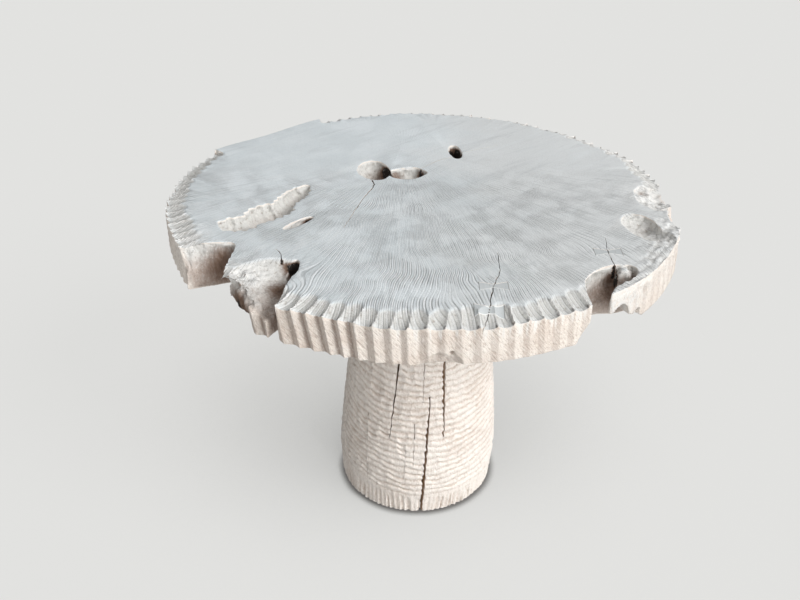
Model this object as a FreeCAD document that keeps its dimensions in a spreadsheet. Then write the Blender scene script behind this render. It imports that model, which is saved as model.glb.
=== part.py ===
import FreeCAD, Part
import Sketcher
import math
import os

from FreeCAD import Placement, Rotation, Vector

# Entry table: a thick round slab with a gouged rim, dowelled on a carved trunk.
# Millimetres. The origin is on the floor under the trunk, Z is up and the front faces -Y.
# Bearings are degrees, anticlockwise from +X. An inset is a distance in from the rim.

UP = Vector(0, 0, 1)

SIZES = {
    # The table as a whole
    "table_height": 760,
    "slab_thickness": 85,
    "top_radius": 545,
    # How far the live edge swells past the top radius, every 22.5 degrees from +X
    "rim_swell_a": 6,
    "rim_swell_b": 13,
    "rim_swell_c": 3,
    "rim_swell_d": 6,
    "rim_swell_e": 5,
    "rim_swell_f": -8,
    "rim_swell_g": -33,
    "rim_swell_h": 5,
    "rim_swell_i": -2,
    "rim_swell_j": -13,
    "rim_swell_k": -4,
    "rim_swell_l": -4,
    "rim_swell_m": 8,
    "rim_swell_n": 14,
    "rim_swell_o": 23,
    "rim_swell_p": 21,
    # Gouge work on the rim, and the bare waney stretch and the broken one that have none
    "flute_pitch": 29,
    "flute_depth": 4,
    "gouge_radius": 22,
    "stroke_drop": 12,
    "stroke_length_front": 56,
    "stroke_length_back": 36,
    "stroke_sway": 4,
    "waney_from": 118,
    "waney_to": 152,
    "broken_from": 306,
    "broken_to": 356,
    # Cracks: width where they start and where they end, and depth
    "crack_tip_width": 1.5,
    "crack_mouth_width": 3,
    "crack_depth": 30,
    "front_crack_tip_bearing": 298,
    "front_crack_tip_inset": 233,
    "front_crack_rim_bearing": 280.3,
    "right_crack_tip_bearing": 328.9,
    "right_crack_tip_inset": 131,
    "right_crack_mouth_bearing": 315.5,
    "right_crack_mouth_inset": 57,
    "heart_crack_reach": 238,
    "heart_crack_sway": 55,
    # Butterfly keys
    "key_length": 54,
    "key_end_width": 31,
    "key_waist": 13,
    "key_depth": 22,
    "key_fit": 0.1,
    "key_inner_bearing": 287.8,
    "key_inner_inset": 118,
    "key_rim_bearing": 283.6,
    "key_rim_inset": 45,
    "key_right_bearing": 322.2,
    "key_right_inset": 103,
    # Trunk
    "foot_radius": 188,
    "belly_radius": 193,
    "belly_height": 100,
    "crown_radius": 124,
    "taper_power": 1.4,
    "foot_shift": 6,
    "crown_shift": 24,
    "row_height": 16,
    "row_ledge": 3,
    "mark_width": 46,
    "foot_band": 70,
    "foot_stroke_width": 20,
    "foot_stroke_depth": 3,
    # Drying splits in the trunk
    "split_depth": 45,
    # Dowels between slab and trunk
    "dowel_diameter": 30,
    "dowel_in_slab": 45,
    "dowel_in_trunk": 65,
    "dowel_edge_margin": 44,
    "dowel_fit": 0.1,
    "dowel_end_gap": 0.3,
}

# Hollows in the top, set out from the middle of the table
HEART_HOLLOWS = {
    "scoop_low": {"x": -364, "y": -158, "turn": 20, "half_length": 44, "half_width": 40, "depth": 34},
    "scoop_mid": {"x": -312, "y": -102, "turn": 45, "half_length": 66, "half_width": 42, "depth": 40},
    "scoop_high": {"x": -270, "y": -25, "turn": 65, "half_length": 62, "half_width": 30, "depth": 32},
    "slot": {"x": -243, "y": -155, "turn": 48, "half_length": 38, "half_width": 11, "depth": 30},
    "heart_hole": {"x": -95, "y": 125, "turn": 100, "half_length": 56, "half_width": 35, "depth": 68},
    "heart_bowl": {"x": -20, "y": 108, "turn": 15, "half_length": 40, "half_width": 33, "depth": 38},
    "back_hole": {"x": 98, "y": 240, "turn": 95, "half_length": 42, "half_width": 13, "depth": 55},
    "right_scoop": {"x": 466, "y": -160, "turn": 115, "half_length": 74, "half_width": 29, "depth": 32},
}

# Hollows and breaks at the rim, which follow it
RIM_HOLLOWS = {
    "right_break": {"bearing": 356.5, "inset": 56, "half_length": 32, "half_width": 34, "depth": 16},
}

# Bites through the rim: where, then the mouth and depth at the top and at the underside
BITES = {
    "left_bite": {"bearing": 215.5, "top_width": 190, "top_depth": 98,
                  "low_width": 215, "low_depth": 95, "low_shift": 86},
    "lobe_slope": {"bearing": 229, "top_width": 84, "top_depth": 24,
                   "low_width": 110, "low_depth": 54, "low_shift": 10},
    "front_bite": {"bearing": 237, "top_width": 139, "top_depth": 138,
                   "low_width": 57, "low_depth": 45, "low_shift": 41},
    "right_bite": {"bearing": 305.5, "top_width": 48, "top_depth": 76,
                   "low_width": 181, "low_depth": 60, "low_shift": 36},
}

# Each bite's outlines as shares of its mouth (along the rim) and of its depth (inward)
EVEN_BITE = [(-0.5, 0), (-0.4, 0.8), (0, 1), (0.4, 0.8), (0.5, 0)]
BITE_FORMS = {
    "left_bite_top": [(-0.5, 0), (-0.27, 0.5), (-0.06, 1), (0.2, 0.55), (0.5, 0)],
    "left_bite_low": [(-0.5, 0), (-0.46, 0.5), (-0.36, 1), (0.1, 0.95), (0.5, 0)],
    "lobe_slope_top": EVEN_BITE,
    "lobe_slope_low": EVEN_BITE,
    "front_bite_top": [(-0.5, 0), (-0.49, 0.7), (-0.3, 1), (-0.09, 1), (0.2, 0.46), (0.33, 0)],
    "front_bite_low": [(-0.5, 0), (-0.45, 0.7), (-0.3, 1), (0, 1), (0.25, 0.6), (0.33, 0)],
    "right_bite_top": [(-0.5, 0), (0.35, 0.79), (1.8, 1), (2.9, 0.62),
                       (2.2, 0.4), (1.1, 0.36), (0.5, 0)],
    "right_bite_low": [(-0.5, 0), (-0.42, 0.5), (-0.25, 1), (0.05, 1),
                       (0.25, 0.7), (0.45, 0.57), (0.5, 0)],
}

# Drying splits in the trunk, from one height to another, widest at one end
SPLITS = {
    "split_left": {"bearing": 249, "low": 200, "high": 560, "low_width": 3, "high_width": 7},
    "split_right": {"bearing": 285.8, "low": 250, "high": 560, "low_width": 3, "high_width": 6},
    "split_front": {"bearing": 273.5, "low": -30, "high": 320, "low_width": 10, "high_width": 2},
}

# Bearings of the dowels round the middle of the crown
DOWELS = {
    "dowel_back": 60,
    "dowel_left": 180,
    "dowel_front": 300,
}

RIM_LETTERS = "abcdefghijklmnop"

# How far a cutter runs past what it cuts: sideways past a rim, and past a flat face
BEYOND = 40
CUT_OVER = 1

# How finely curved work is laid out in flats
FLUTE_FLATS = 3
GOUGE_FLATS = [-60, -36, -12, 12, 36, 60]
HOLLOW_SIDES = 14
HOLLOW_LEVELS = [(-0.1, 1.04), (0, 1), (0.55, 0.84), (0.9, 0.5), (1, 0.2)]
BITE_STEPS = 12

# Radians from stroke to stroke along the wave of their lengths
SWAY_STEP = 2.4

doc = FreeCAD.newDocument("entry_table")
sheet = doc.addObject("Spreadsheet::Sheet", "sizes")


def put_sizes(named_sizes, first_row):
    """Writes each named size to a row of the sheet and returns the next free row."""
    for row, (alias, number) in enumerate(named_sizes.items(), first_row):
        sheet.set(f"A{row}", alias)
        sheet.set(f"B{row}", str(number))
        sheet.setAlias(f"B{row}", alias)
    return first_row + len(named_sizes)


def put_groups(groups, first_row):
    """Writes groups of sizes, each alias starting with its group's name."""
    for group, members in groups.items():
        named = {f"{group}_{member}": number for member, number in members.items()}
        first_row = put_sizes(named, first_row)
    return first_row


free_row = put_sizes(SIZES, 1)
for feature_groups in (HEART_HOLLOWS, RIM_HOLLOWS, BITES, SPLITS):
    free_row = put_groups(feature_groups, free_row)
doc.recompute()


def size(alias):
    """The number that the sheet holds under an alias."""
    return float(sheet.get(alias))


def bind(thing, **expressions):
    """Binds properties of a document object to expressions on the sheet."""
    for name, expression in expressions.items():
        thing.setExpression(name, expression)


def feature(name, shape):
    """A document object with a ready shape."""
    thing = doc.addObject("Part::Feature", name)
    thing.Shape = shape
    return thing


def cut(name, base, tools):
    """Takes a compound of tools that stay clear of each other from a base."""
    group = doc.addObject("Part::Compound", f"{name}_tools")
    group.Links = tools
    thing = doc.addObject("Part::Cut", name)
    thing.Base = base
    thing.Tool = group
    return thing


def loop(corners):
    """A closed wire through corners."""
    return Part.makePolygon(corners + corners[:1])


def band(low, high):
    """The facets between two rings of as many corners, flat where the rings are alike."""
    faces = []
    for index in range(len(low)):
        after = (index + 1) % len(low)
        faces.append(Part.Face(loop([low[index], low[after], high[after], high[index]])))
    return faces


def split_band(low, high):
    """As band, each facet halved, for rings that differ."""
    faces = []
    for index in range(len(low)):
        after = (index + 1) % len(low)
        faces.append(Part.Face(loop([low[index], low[after], high[after]])))
        faces.append(Part.Face(loop([low[index], high[after], high[index]])))
    return faces


def closed(low, walls, high):
    """A solid from its walls and the rings that close it."""
    return Part.makeSolid(Part.makeShell([Part.Face(loop(low))] + walls + [Part.Face(loop(high))]))


table_height = size("table_height")
underside = table_height - size("slab_thickness")


# The live edge

def rim_radius(bearing):
    """Radius of the live edge, eased from one measured swell to the next."""
    step = 360 / len(RIM_LETTERS)
    place = (bearing % 360) / step
    index = int(place)
    ease = (1 - math.cos(math.pi * (place - index))) / 2
    here = size("rim_swell_" + RIM_LETTERS[index % len(RIM_LETTERS)])
    after = size("rim_swell_" + RIM_LETTERS[(index + 1) % len(RIM_LETTERS)])
    return size("top_radius") + here + (after - here) * ease


def rim_point(bearing, inset, height):
    """A point in from the rim along its bearing."""
    angle = math.radians(bearing)
    radius = rim_radius(bearing) - inset
    return Vector(radius * math.cos(angle), radius * math.sin(angle), height)


flute_count = round(2 * math.pi * size("top_radius") / size("flute_pitch"))
flute_turn = 360 / flute_count


def is_carved(flute):
    """True for a flute outside the waney stretch and the broken one."""
    bearing = (flute + 0.5) * flute_turn
    is_waney = size("waney_from") <= bearing <= size("waney_to")
    is_broken = size("broken_from") <= bearing <= size("broken_to")
    return not is_waney and not is_broken


def rim_wire():
    """Gouge hollows side by side round the slab, in flats, with two bare stretches."""
    corners = []
    for flute in range(flute_count):
        depth = size("flute_depth") if is_carved(flute) else 0
        for flat in range(FLUTE_FLATS):
            share = flat / FLUTE_FLATS
            hollow_share = 1 - (2 * share - 1) ** 2
            corners.append(rim_point((flute + share) * flute_turn, depth * hollow_share, underside))
    return loop(corners)


rim_outline = feature("rim_outline", rim_wire())
slab_blank = doc.addObject("Part::Extrusion", "slab_blank")
slab_blank.Base = rim_outline
slab_blank.DirMode = "Custom"
slab_blank.Dir = UP
slab_blank.Solid = True
bind(slab_blank, LengthFwd="sizes.slab_thickness")


# Gouge strokes on the top, one above each flute

def gouge_stroke(flute):
    """A gouge's track: it enters the top inboard of the rim and deepens towards it."""
    bearing = (flute + 0.5) * flute_turn
    towards_front = (1 - math.sin(math.radians(bearing))) / 2
    back = size("stroke_length_back")
    length = back + (size("stroke_length_front") - back) * towards_front
    length += size("stroke_sway") * math.sin(SWAY_STEP * flute)
    slope = math.atan2(size("stroke_drop"), size("stroke_length_front"))
    angle = math.radians(bearing)
    outward = Vector(math.cos(angle), math.sin(angle), 0)
    across = Vector(-math.sin(angle), math.cos(angle), 0)
    along = outward * math.cos(slope) - UP * math.sin(slope)
    square = outward * math.sin(slope) + UP * math.cos(slope)
    radius = size("gouge_radius")
    axis = rim_point(bearing, length, table_height) + square * radius
    section = []
    for turn in GOUGE_FLATS:
        swing = math.radians(turn)
        section.append(axis + across * (radius * math.sin(swing)) - square * (radius * math.cos(swing)))
    section += [section[-1] + square * (2 * radius), section[0] + square * (2 * radius)]
    return Part.Face(loop(section)).extrude(along * (length + BEYOND))


strokes = [gouge_stroke(flute) for flute in range(flute_count) if is_carved(flute)]
doc.recompute()
carved_slab = feature("carved_slab", slab_blank.Shape.cut(strokes))


# Natural hollows, bites and cracks

def hollow(name, place, turn):
    """A rounded hollow sunk into the top, in flat facets from ring to ring."""
    swing = Rotation(UP, turn)
    rings = []
    for drop, share in HOLLOW_LEVELS:
        middle = place - UP * (drop * size(f"{name}_depth"))
        corners = []
        for index in range(HOLLOW_SIDES):
            angle = 2 * math.pi * index / HOLLOW_SIDES
            spread = Vector(size(f"{name}_half_length") * math.cos(angle),
                            size(f"{name}_half_width") * math.sin(angle), 0)
            corners.append(middle + swing.multVec(spread * share))
        rings.append(corners)
    walls = [facet for low, high in zip(rings, rings[1:]) for facet in band(low, high)]
    return feature(name, closed(rings[0], walls, rings[-1]))


def heart_hollow(name):
    """A hollow set out from the middle of the table."""
    place = Vector(size(f"{name}_x"), size(f"{name}_y"), table_height)
    return hollow(name, place, size(f"{name}_turn"))


def rim_hollow(name):
    """A hollow whose length lies along the rim."""
    bearing = size(f"{name}_bearing")
    return hollow(name, rim_point(bearing, size(f"{name}_inset"), table_height), bearing + 90)


def bite_outline(name, level, height, shift):
    """Corners of a bite at one height: along a curve inside the rim, then back outside it."""
    bearing = size(f"{name}_bearing")
    angle = math.radians(bearing)
    inward = Vector(-math.cos(angle), -math.sin(angle), 0)
    along = Vector(-math.sin(angle), math.cos(angle), 0)
    mouth = rim_point(bearing, 0, height) + along * shift
    width = size(f"{name}_{level}_width")
    depth = size(f"{name}_{level}_depth")
    points = []
    for share, reach in BITE_FORMS[f"{name}_{level}"]:
        points.append(mouth + along * (share * width) + inward * (reach * depth))
    curve = Part.BSplineCurve()
    curve.interpolate(points)
    corners = curve.discretize(Number=BITE_STEPS)
    return corners + [corners[-1] - inward * BEYOND, corners[0] - inward * BEYOND]


def bite(name):
    """A bite right through the slab, its walls leaning from one outline to the other."""
    top = bite_outline(name, "top", table_height + CUT_OVER, 0)
    low = bite_outline(name, "low", underside - CUT_OVER, size(f"{name}_low_shift"))
    return feature(name, closed(low, split_band(low, top), top))


def crack(name, path, tip_width, mouth_width):
    """A crack along a path, widening from its tip to its mouth."""
    left, right = [], []
    for index, point in enumerate(path):
        ahead = path[min(index + 1, len(path) - 1)] - path[max(index - 1, 0)]
        side = UP.cross(ahead).normalize()
        half = (tip_width + (mouth_width - tip_width) * index / (len(path) - 1)) / 2
        left.append(point + side * half)
        right.append(point - side * half)
    outline = left + right[::-1]
    return feature(name, Part.Face(loop(outline)).extrude(UP * -size("crack_depth")))


def key_place(name):
    """The middle of a key, on the top."""
    return rim_point(size(f"{name}_bearing"), size(f"{name}_inset"), table_height)


front_tip = rim_point(size("front_crack_tip_bearing"), size("front_crack_tip_inset"), table_height)
front_mouth = rim_point(size("front_crack_rim_bearing"), -BEYOND, table_height)
front_path = [front_tip, key_place("key_inner"), key_place("key_rim"), front_mouth]
right_tip = rim_point(size("right_crack_tip_bearing"), size("right_crack_tip_inset"), table_height)
right_mouth = rim_point(size("right_crack_mouth_bearing"), size("right_crack_mouth_inset"), table_height)
right_path = [right_tip, key_place("key_right"), right_mouth]
heart = Vector(size("heart_hole_x"), size("heart_hole_y"), table_height)
heart_edge = size("heart_hole_half_length")
reach = size("heart_crack_reach")
sway = size("heart_crack_sway")
heart_path = [
    heart + Vector(-sway, -heart_edge - reach, 0),
    heart + Vector(-sway / 2, -heart_edge - reach / 3, 0),
    heart + Vector(0, -heart_edge / 2, 0),
]

tip_width = size("crack_tip_width")
mouth_width = size("crack_mouth_width")
openings = [heart_hollow(name) for name in HEART_HOLLOWS]
openings += [rim_hollow(name) for name in RIM_HOLLOWS]
openings += [bite(name) for name in BITES]
openings += [
    crack("front_crack", front_path, tip_width, mouth_width),
    crack("right_crack", right_path, tip_width, mouth_width),
    crack("heart_crack", heart_path, tip_width, tip_width * 2),
]
all_openings = doc.addObject("Part::MultiFuse", "all_openings")
all_openings.Shapes = openings
worn_slab = doc.addObject("Part::Cut", "worn_slab")
worn_slab.Base = carved_slab
worn_slab.Tool = all_openings


# Butterfly keys and their mortises

def bow_tie(name, place, allowance):
    """A butterfly of the key's size plus an allowance all round, sunk from the top."""
    body = doc.addObject("PartDesign::Body", name)
    sketch = body.newObject("Sketcher::SketchObject", f"{name}_outline")
    flat = next(f for f in body.Origin.OriginFeatures if f.Role == "XY_Plane")
    sketch.AttachmentSupport = [(flat, "")]
    sketch.MapMode = "FlatFace"
    half = size("key_length") / 2
    end = size("key_end_width") / 2
    waist = size("key_waist") / 2
    corners = [Vector(-half, -end, 0), Vector(0, -waist, 0), Vector(half, -end, 0),
               Vector(half, end, 0), Vector(0, waist, 0), Vector(-half, end, 0)]
    for index, corner in enumerate(corners):
        sketch.addGeometry(Part.LineSegment(corner, corners[(index + 1) % len(corners)]), False)
    for index in range(len(corners)):
        sketch.addConstraint(Sketcher.Constraint("Coincident", index, 2, (index + 1) % len(corners), 1))
    sketch.addConstraint(Sketcher.Constraint("Symmetric", 0, 1, 5, 1, -1))
    sketch.addConstraint(Sketcher.Constraint("Symmetric", 2, 1, 3, 1, -1))
    sketch.addConstraint(Sketcher.Constraint("Symmetric", 1, 1, 4, 1, -1))
    sketch.addConstraint(Sketcher.Constraint("Symmetric", 0, 1, 2, 1, -2))
    sketch.addConstraint(Sketcher.Constraint("PointOnObject", 1, 1, -2))
    dimensions = [("DistanceX", 0, 2, "key_length"), ("DistanceY", 2, 3, "key_end_width"),
                  ("DistanceY", 1, 4, "key_waist")]
    for kind, first, second, alias in dimensions:
        number = sketch.addConstraint(Sketcher.Constraint(kind, first, 1, second, 1, size(alias)))
        sketch.setExpression(f"Constraints[{number}]", f"sizes.{alias} + {allowance}")
    pad = body.newObject("PartDesign::Pad", f"{name}_pad")
    pad.Profile = sketch
    pad.Reversed = True
    bind(pad, Length="sizes.key_depth")
    body.Placement = Placement(place, Rotation())
    return body


KEYS = ["key_inner", "key_rim", "key_right"]
key_bodies = [bow_tie(f"{name}_blank", key_place(name), "0") for name in KEYS]
mortises = [bow_tie(f"{name}_mortise", key_place(name), "2 * sizes.key_fit") for name in KEYS]
doc.recompute()
keys = []
for name, blank in zip(KEYS, key_bodies):
    reached = [stroke for stroke in strokes if stroke.distToShape(blank.Shape)[0] == 0]
    keys.append(feature(name, blank.Shape.cut(reached) if reached else blank.Shape))


# Trunk

trunk_height = underside


def trunk_radius(height):
    """Radius at the proud edge of a row: a belly near the foot, then a taper to the crown."""
    belly = size("belly_radius")
    bulge = size("belly_height")
    if height < bulge:
        return belly - (belly - size("foot_radius")) * ((bulge - height) / bulge) ** 2
    crown = size("crown_radius") + size("row_ledge")
    return belly - (belly - crown) * ((height - bulge) / (trunk_height - bulge)) ** size("taper_power")


def trunk_middle(height):
    """The trunk leans a little to the right as it rises."""
    lean = size("crown_shift") - size("foot_shift")
    return Vector(size("foot_shift") + lean * height / trunk_height, 0, height)


def ring(height, radius, count, turn, valley):
    """Corners of a many-sided ring, every other one drawn in by the valley share."""
    middle = trunk_middle(height)
    corners = []
    for index in range(count):
        angle = 2 * math.pi * (index + turn) / count
        reach = radius * (1 - valley * (index % 2))
        corners.append(middle + Vector(reach * math.cos(angle), reach * math.sin(angle), 0))
    return corners


def carved_trunk():
    """Upright strokes at the foot, then rows of chisel marks, each proud of the one below it."""
    ledge = size("row_ledge")
    foot_band = size("foot_band")
    foot_count = 2 * round(math.pi * size("foot_radius") / size("foot_stroke_width"))
    valley = size("foot_stroke_depth") / size("foot_radius")
    mark_count = round(2 * math.pi * size("belly_radius") / size("mark_width"))
    row_count = round((trunk_height - foot_band) / size("row_height"))
    row_height = (trunk_height - foot_band) / row_count
    low = ring(0, trunk_radius(0), foot_count, 0, valley)
    high = ring(foot_band, trunk_radius(foot_band) - ledge, foot_count, 0, valley)
    faces = [Part.Face(loop(low))] + band(low, high)
    for row in range(row_count):
        base = foot_band + row * row_height
        turn = 0.5 * (row % 2)
        low = ring(base, trunk_radius(base), mark_count, turn, 0)
        faces.append(Part.makeFace([loop(low), loop(high)], "Part::FaceMakerBullseye"))
        high = ring(base + row_height, trunk_radius(base + row_height) - ledge, mark_count, turn, 0)
        faces += band(low, high)
    faces.append(Part.Face(loop(high)))
    return Part.makeSolid(Part.makeShell(faces))


trunk_blank = feature("trunk_blank", carved_trunk())


def trunk_split(name):
    """A drying split that closes towards the heart of the trunk and narrows along its height."""
    angle = math.radians(size(f"{name}_bearing"))
    outward = Vector(math.cos(angle), math.sin(angle), 0)
    along = Vector(-math.sin(angle), math.cos(angle), 0)
    ends = []
    for end in ("low", "high"):
        height = size(f"{name}_{end}")
        surface = trunk_middle(height) + outward * trunk_radius(height)
        outside = surface + outward * BEYOND
        mouth = along * (size(f"{name}_{end}_width") / 2)
        ends.append([surface - outward * size("split_depth"), outside + mouth, outside - mouth])
    low, high = ends
    return feature(name, closed(low, split_band(low, high), high))


# Dowels and their bores

def round_bar(name, middle, base, radius, height):
    """An upright cylinder whose sizes are expressions on the sheet."""
    thing = doc.addObject("Part::Cylinder", name)
    bind(thing, Radius=radius, Height=height)
    thing.Placement = Placement(Vector(middle.x, middle.y, base), Rotation())
    return thing


crown_middle = trunk_middle(trunk_height)
dowel_circle = size("crown_radius") - size("dowel_edge_margin")
dowel_base = underside - size("dowel_in_trunk")
DOWEL_RADIUS = "sizes.dowel_diameter / 2"
BORE_RADIUS = DOWEL_RADIUS + " + sizes.dowel_fit"
dowels, slab_bores, trunk_bores = [], [], []
for name, bearing in DOWELS.items():
    angle = math.radians(bearing)
    middle = crown_middle + Vector(math.cos(angle), math.sin(angle), 0) * dowel_circle
    dowels.append(round_bar(name, middle, dowel_base, DOWEL_RADIUS,
                            "sizes.dowel_in_slab + sizes.dowel_in_trunk"))
    slab_bores.append(round_bar(f"{name}_slab_bore", middle, underside, BORE_RADIUS,
                                "sizes.dowel_in_slab + sizes.dowel_end_gap"))
    trunk_bores.append(round_bar(f"{name}_trunk_bore", middle, dowel_base, BORE_RADIUS,
                                 "sizes.dowel_in_trunk"))

tabletop_slab = cut("tabletop_slab", worn_slab, mortises + slab_bores)
trunk_pedestal = cut("trunk_pedestal", trunk_blank, trunk_bores + [trunk_split(name) for name in SPLITS])
doc.recompute()


# Every object is sound before anything is written

for thing in doc.Objects:
    if "Invalid" in thing.State or "Error" in thing.State:
        raise RuntimeError(f"{thing.Name} failed: {thing.State}")

pieces = [tabletop_slab, trunk_pedestal] + keys + dowels
for piece in pieces:
    if piece.Shape.isNull() or not piece.Shape.isValid() or len(piece.Shape.Solids) != 1:
        raise RuntimeError(f"{piece.Label} isn't one sound solid")

os.makedirs("parts", exist_ok=True)
for piece in pieces:
    piece.Shape.exportStep(f"parts/{piece.Label}.step")
    print(piece.Label, len(piece.Shape.Faces), "faces", round(piece.Shape.Volume / 1000), "cm3")
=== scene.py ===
# %% [markdown]
# # An entry table carved from two lumps of bleached wood
#
# The real table is a thick round slab with a gouged rim, standing on a short trunk that is chiselled all
# over. Both are pale, dry and rough, so nearly everything that the eye enjoys is carved shape. This
# lesson carves those shapes as meshes, and then gives them a white-washed wood finish.

# %% Load the frame
import math
import random

import bpy
import numpy as np
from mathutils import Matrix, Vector


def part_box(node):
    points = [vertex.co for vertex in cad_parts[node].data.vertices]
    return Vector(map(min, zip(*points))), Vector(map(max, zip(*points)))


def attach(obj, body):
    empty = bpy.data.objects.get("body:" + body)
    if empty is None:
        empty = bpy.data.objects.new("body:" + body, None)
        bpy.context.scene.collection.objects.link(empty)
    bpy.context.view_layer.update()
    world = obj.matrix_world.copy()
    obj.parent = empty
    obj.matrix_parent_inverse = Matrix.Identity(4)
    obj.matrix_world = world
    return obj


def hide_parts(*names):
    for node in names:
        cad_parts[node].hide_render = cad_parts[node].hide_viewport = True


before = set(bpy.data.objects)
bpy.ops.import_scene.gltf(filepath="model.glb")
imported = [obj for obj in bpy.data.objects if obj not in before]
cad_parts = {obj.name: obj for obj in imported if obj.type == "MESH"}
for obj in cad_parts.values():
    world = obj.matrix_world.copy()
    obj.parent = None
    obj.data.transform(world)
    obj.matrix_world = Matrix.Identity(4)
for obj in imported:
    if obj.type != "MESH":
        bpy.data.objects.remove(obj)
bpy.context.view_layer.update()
slab_low, slab_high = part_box("tabletop_slab")
trunk_low, trunk_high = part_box("trunk_pedestal")
TOP = slab_high[2]
UNDERSIDE = slab_low[2]
THICKNESS = TOP - UNDERSIDE
print("top at", round(TOP, 3), "slab", round(THICKNESS, 3), "thick")

# %% [markdown]
# ## The camera
#
# The photographer stood in front, a little above eye level, and looked down by about thirty degrees. The
# camera is set first, because every later choice is judged through it.

# %% Camera
CAMERA_PLACE = (-0.035, -1.917, 1.602)
CAMERA_PITCH = 30.2
CAMERA_LENS = 42.75
CAMERA_SENSOR = 36

camera_data = bpy.data.cameras.new("camera")
camera_data.lens = CAMERA_LENS
camera_data.sensor_width = CAMERA_SENSOR
camera = bpy.data.objects.new("camera", camera_data)
camera.location = CAMERA_PLACE
camera.rotation_euler = (math.radians(90 - CAMERA_PITCH), 0, 0)
bpy.context.collection.objects.link(camera)
bpy.context.scene.camera = camera
print("camera at", CAMERA_PLACE)

# %% [markdown]
# ## Helpers for working by hand, in code
#
# An operator works on whatever is selected, so each helper clears the selection and picks one piece.
# Points go in and out of a mesh as one array, which lets a formula move a hundred thousand of them at
# once.

# %% Helpers
LEVEL = 1e-4


def pick(piece):
    """Makes one piece the only selected and active one."""
    bpy.ops.object.select_all(action="DESELECT")
    piece.select_set(True)
    bpy.context.view_layer.objects.active = piece


def points_of(piece):
    """The vertices of a piece as an array of places."""
    flat = np.empty(len(piece.data.vertices) * 3, np.float32)
    piece.data.vertices.foreach_get("co", flat)
    return flat.reshape(-1, 3).astype(float)


def normals_of(piece):
    """The vertex normals of a piece as an array."""
    flat = np.empty(len(piece.data.vertices) * 3, np.float32)
    piece.data.vertices.foreach_get("normal", flat)
    return flat.reshape(-1, 3).astype(float)


def put_points(piece, points):
    """Moves the vertices of a piece to an array of places."""
    piece.data.vertices.foreach_set("co", points.astype(np.float32).ravel())
    piece.data.update()


def finish_with(piece, kind, **settings):
    """Adds a modifier, sets it and applies it."""
    pick(piece)
    modifier = piece.modifiers.new(kind.lower(), kind)
    for name, value in settings.items():
        setattr(modifier, name, value)
    bpy.ops.object.modifier_apply(modifier=modifier.name)


def ease(low, high, value):
    """A smooth step from 0 at low to 1 at high."""
    share = np.clip((value - low) / (high - low), 0, 1)
    return share * share * (3 - 2 * share)


def put_group(piece, name, weights):
    """A vertex group with one weight for each vertex."""
    group = piece.vertex_groups.new(name=name)
    levels = 20
    steps = np.round(np.clip(weights, 0, 1) * levels).astype(int)
    for step in range(1, levels + 1):
        group.add(np.flatnonzero(steps == step).tolist(), step / levels, "REPLACE")


def put_attribute(piece, name, values):
    """A number for each vertex, which a material can read by name."""
    attribute = piece.data.attributes.new(name, "FLOAT", "POINT")
    attribute.data.foreach_set("value", values.astype(np.float32))


def edge_ends(piece):
    """The first and the last vertex of each edge."""
    ends = np.empty(len(piece.data.edges) * 2, np.int32)
    piece.data.edges.foreach_get("vertices", ends)
    return ends.reshape(-1, 2).T


def ringed_drum(name, columns, cuts):
    """A cylinder divided into level rings, with the column and the ring of each vertex."""
    bpy.ops.object.select_all(action="DESELECT")
    bpy.ops.mesh.primitive_cylinder_add(vertices=columns, radius=1, depth=2)
    drum = bpy.context.object
    drum.name = name
    rings = 2
    for cut in cuts:
        heights = points_of(drum)[:, 2]
        first, last = edge_ends(drum)
        upright = np.abs(heights[last] - heights[first]) > LEVEL
        bpy.ops.object.mode_set(mode="EDIT")
        bpy.ops.mesh.select_mode(type="EDGE")
        bpy.ops.mesh.select_all(action="DESELECT")
        bpy.ops.object.mode_set(mode="OBJECT")
        drum.data.edges.foreach_set("select", upright)
        bpy.ops.object.mode_set(mode="EDIT")
        bpy.ops.mesh.subdivide(number_cuts=cut)
        bpy.ops.object.mode_set(mode="OBJECT")
        rings = (rings - 1) * (cut + 1) + 1
    points = points_of(drum)
    column = np.round(np.arctan2(points[:, 1], points[:, 0]) / (2 * np.pi) * columns).astype(int) % columns
    ring = np.round((points[:, 2] + 1) / 2 * (rings - 1)).astype(int)
    return drum, column, ring


def polar(points):
    """Bearing in degrees and distance from the table's middle."""
    return np.degrees(np.arctan2(points[:, 1], points[:, 0])) % 360, np.hypot(points[:, 0], points[:, 1])


def curve_through(points, count):
    """Places along a smooth curve through a few points."""
    points = np.array(points, float)
    padded = np.vstack([2 * points[0] - points[1], points, 2 * points[-1] - points[-2]])
    places = np.linspace(0, len(points) - 1.000001, count)
    index = places.astype(int)
    t = (places - index)[:, None]
    a, b, c, d = (padded[index + step] for step in range(4))
    return b + t / 2 * (c - a + t * (2 * a - 5 * b + 4 * c - d + t * (3 * b - a - 3 * c + d)))


# %% [markdown]
# ## The slab's live edge
#
# The tree was not quite round. Sixteen swells round the rim, eased from one to the next, give its true
# outline. A drum of many columns takes that outline, and the natural voids are then cut out of it with
# boolean cutters, as a carver would open them with a gouge.

# %% Slab blank
TOP_RADIUS = 0.545
SWELL_STEP = 22.5
RIM_SWELLS = np.array([6, 13, 3, 6, 5, -8, -33, 5, -2, -13, -4, -4, 8, 14, 23, 21]) / 1000
RIM_COLUMNS = 720


def rim_radius(bearing):
    """Radius of the live edge at a bearing in degrees."""
    place = (bearing % 360) / SWELL_STEP
    index = np.floor(place).astype(int)
    share = (1 - np.cos(np.pi * (place - index))) / 2
    here = RIM_SWELLS[index % len(RIM_SWELLS)]
    after = RIM_SWELLS[(index + 1) % len(RIM_SWELLS)]
    return TOP_RADIUS + here + (after - here) * share


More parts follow.
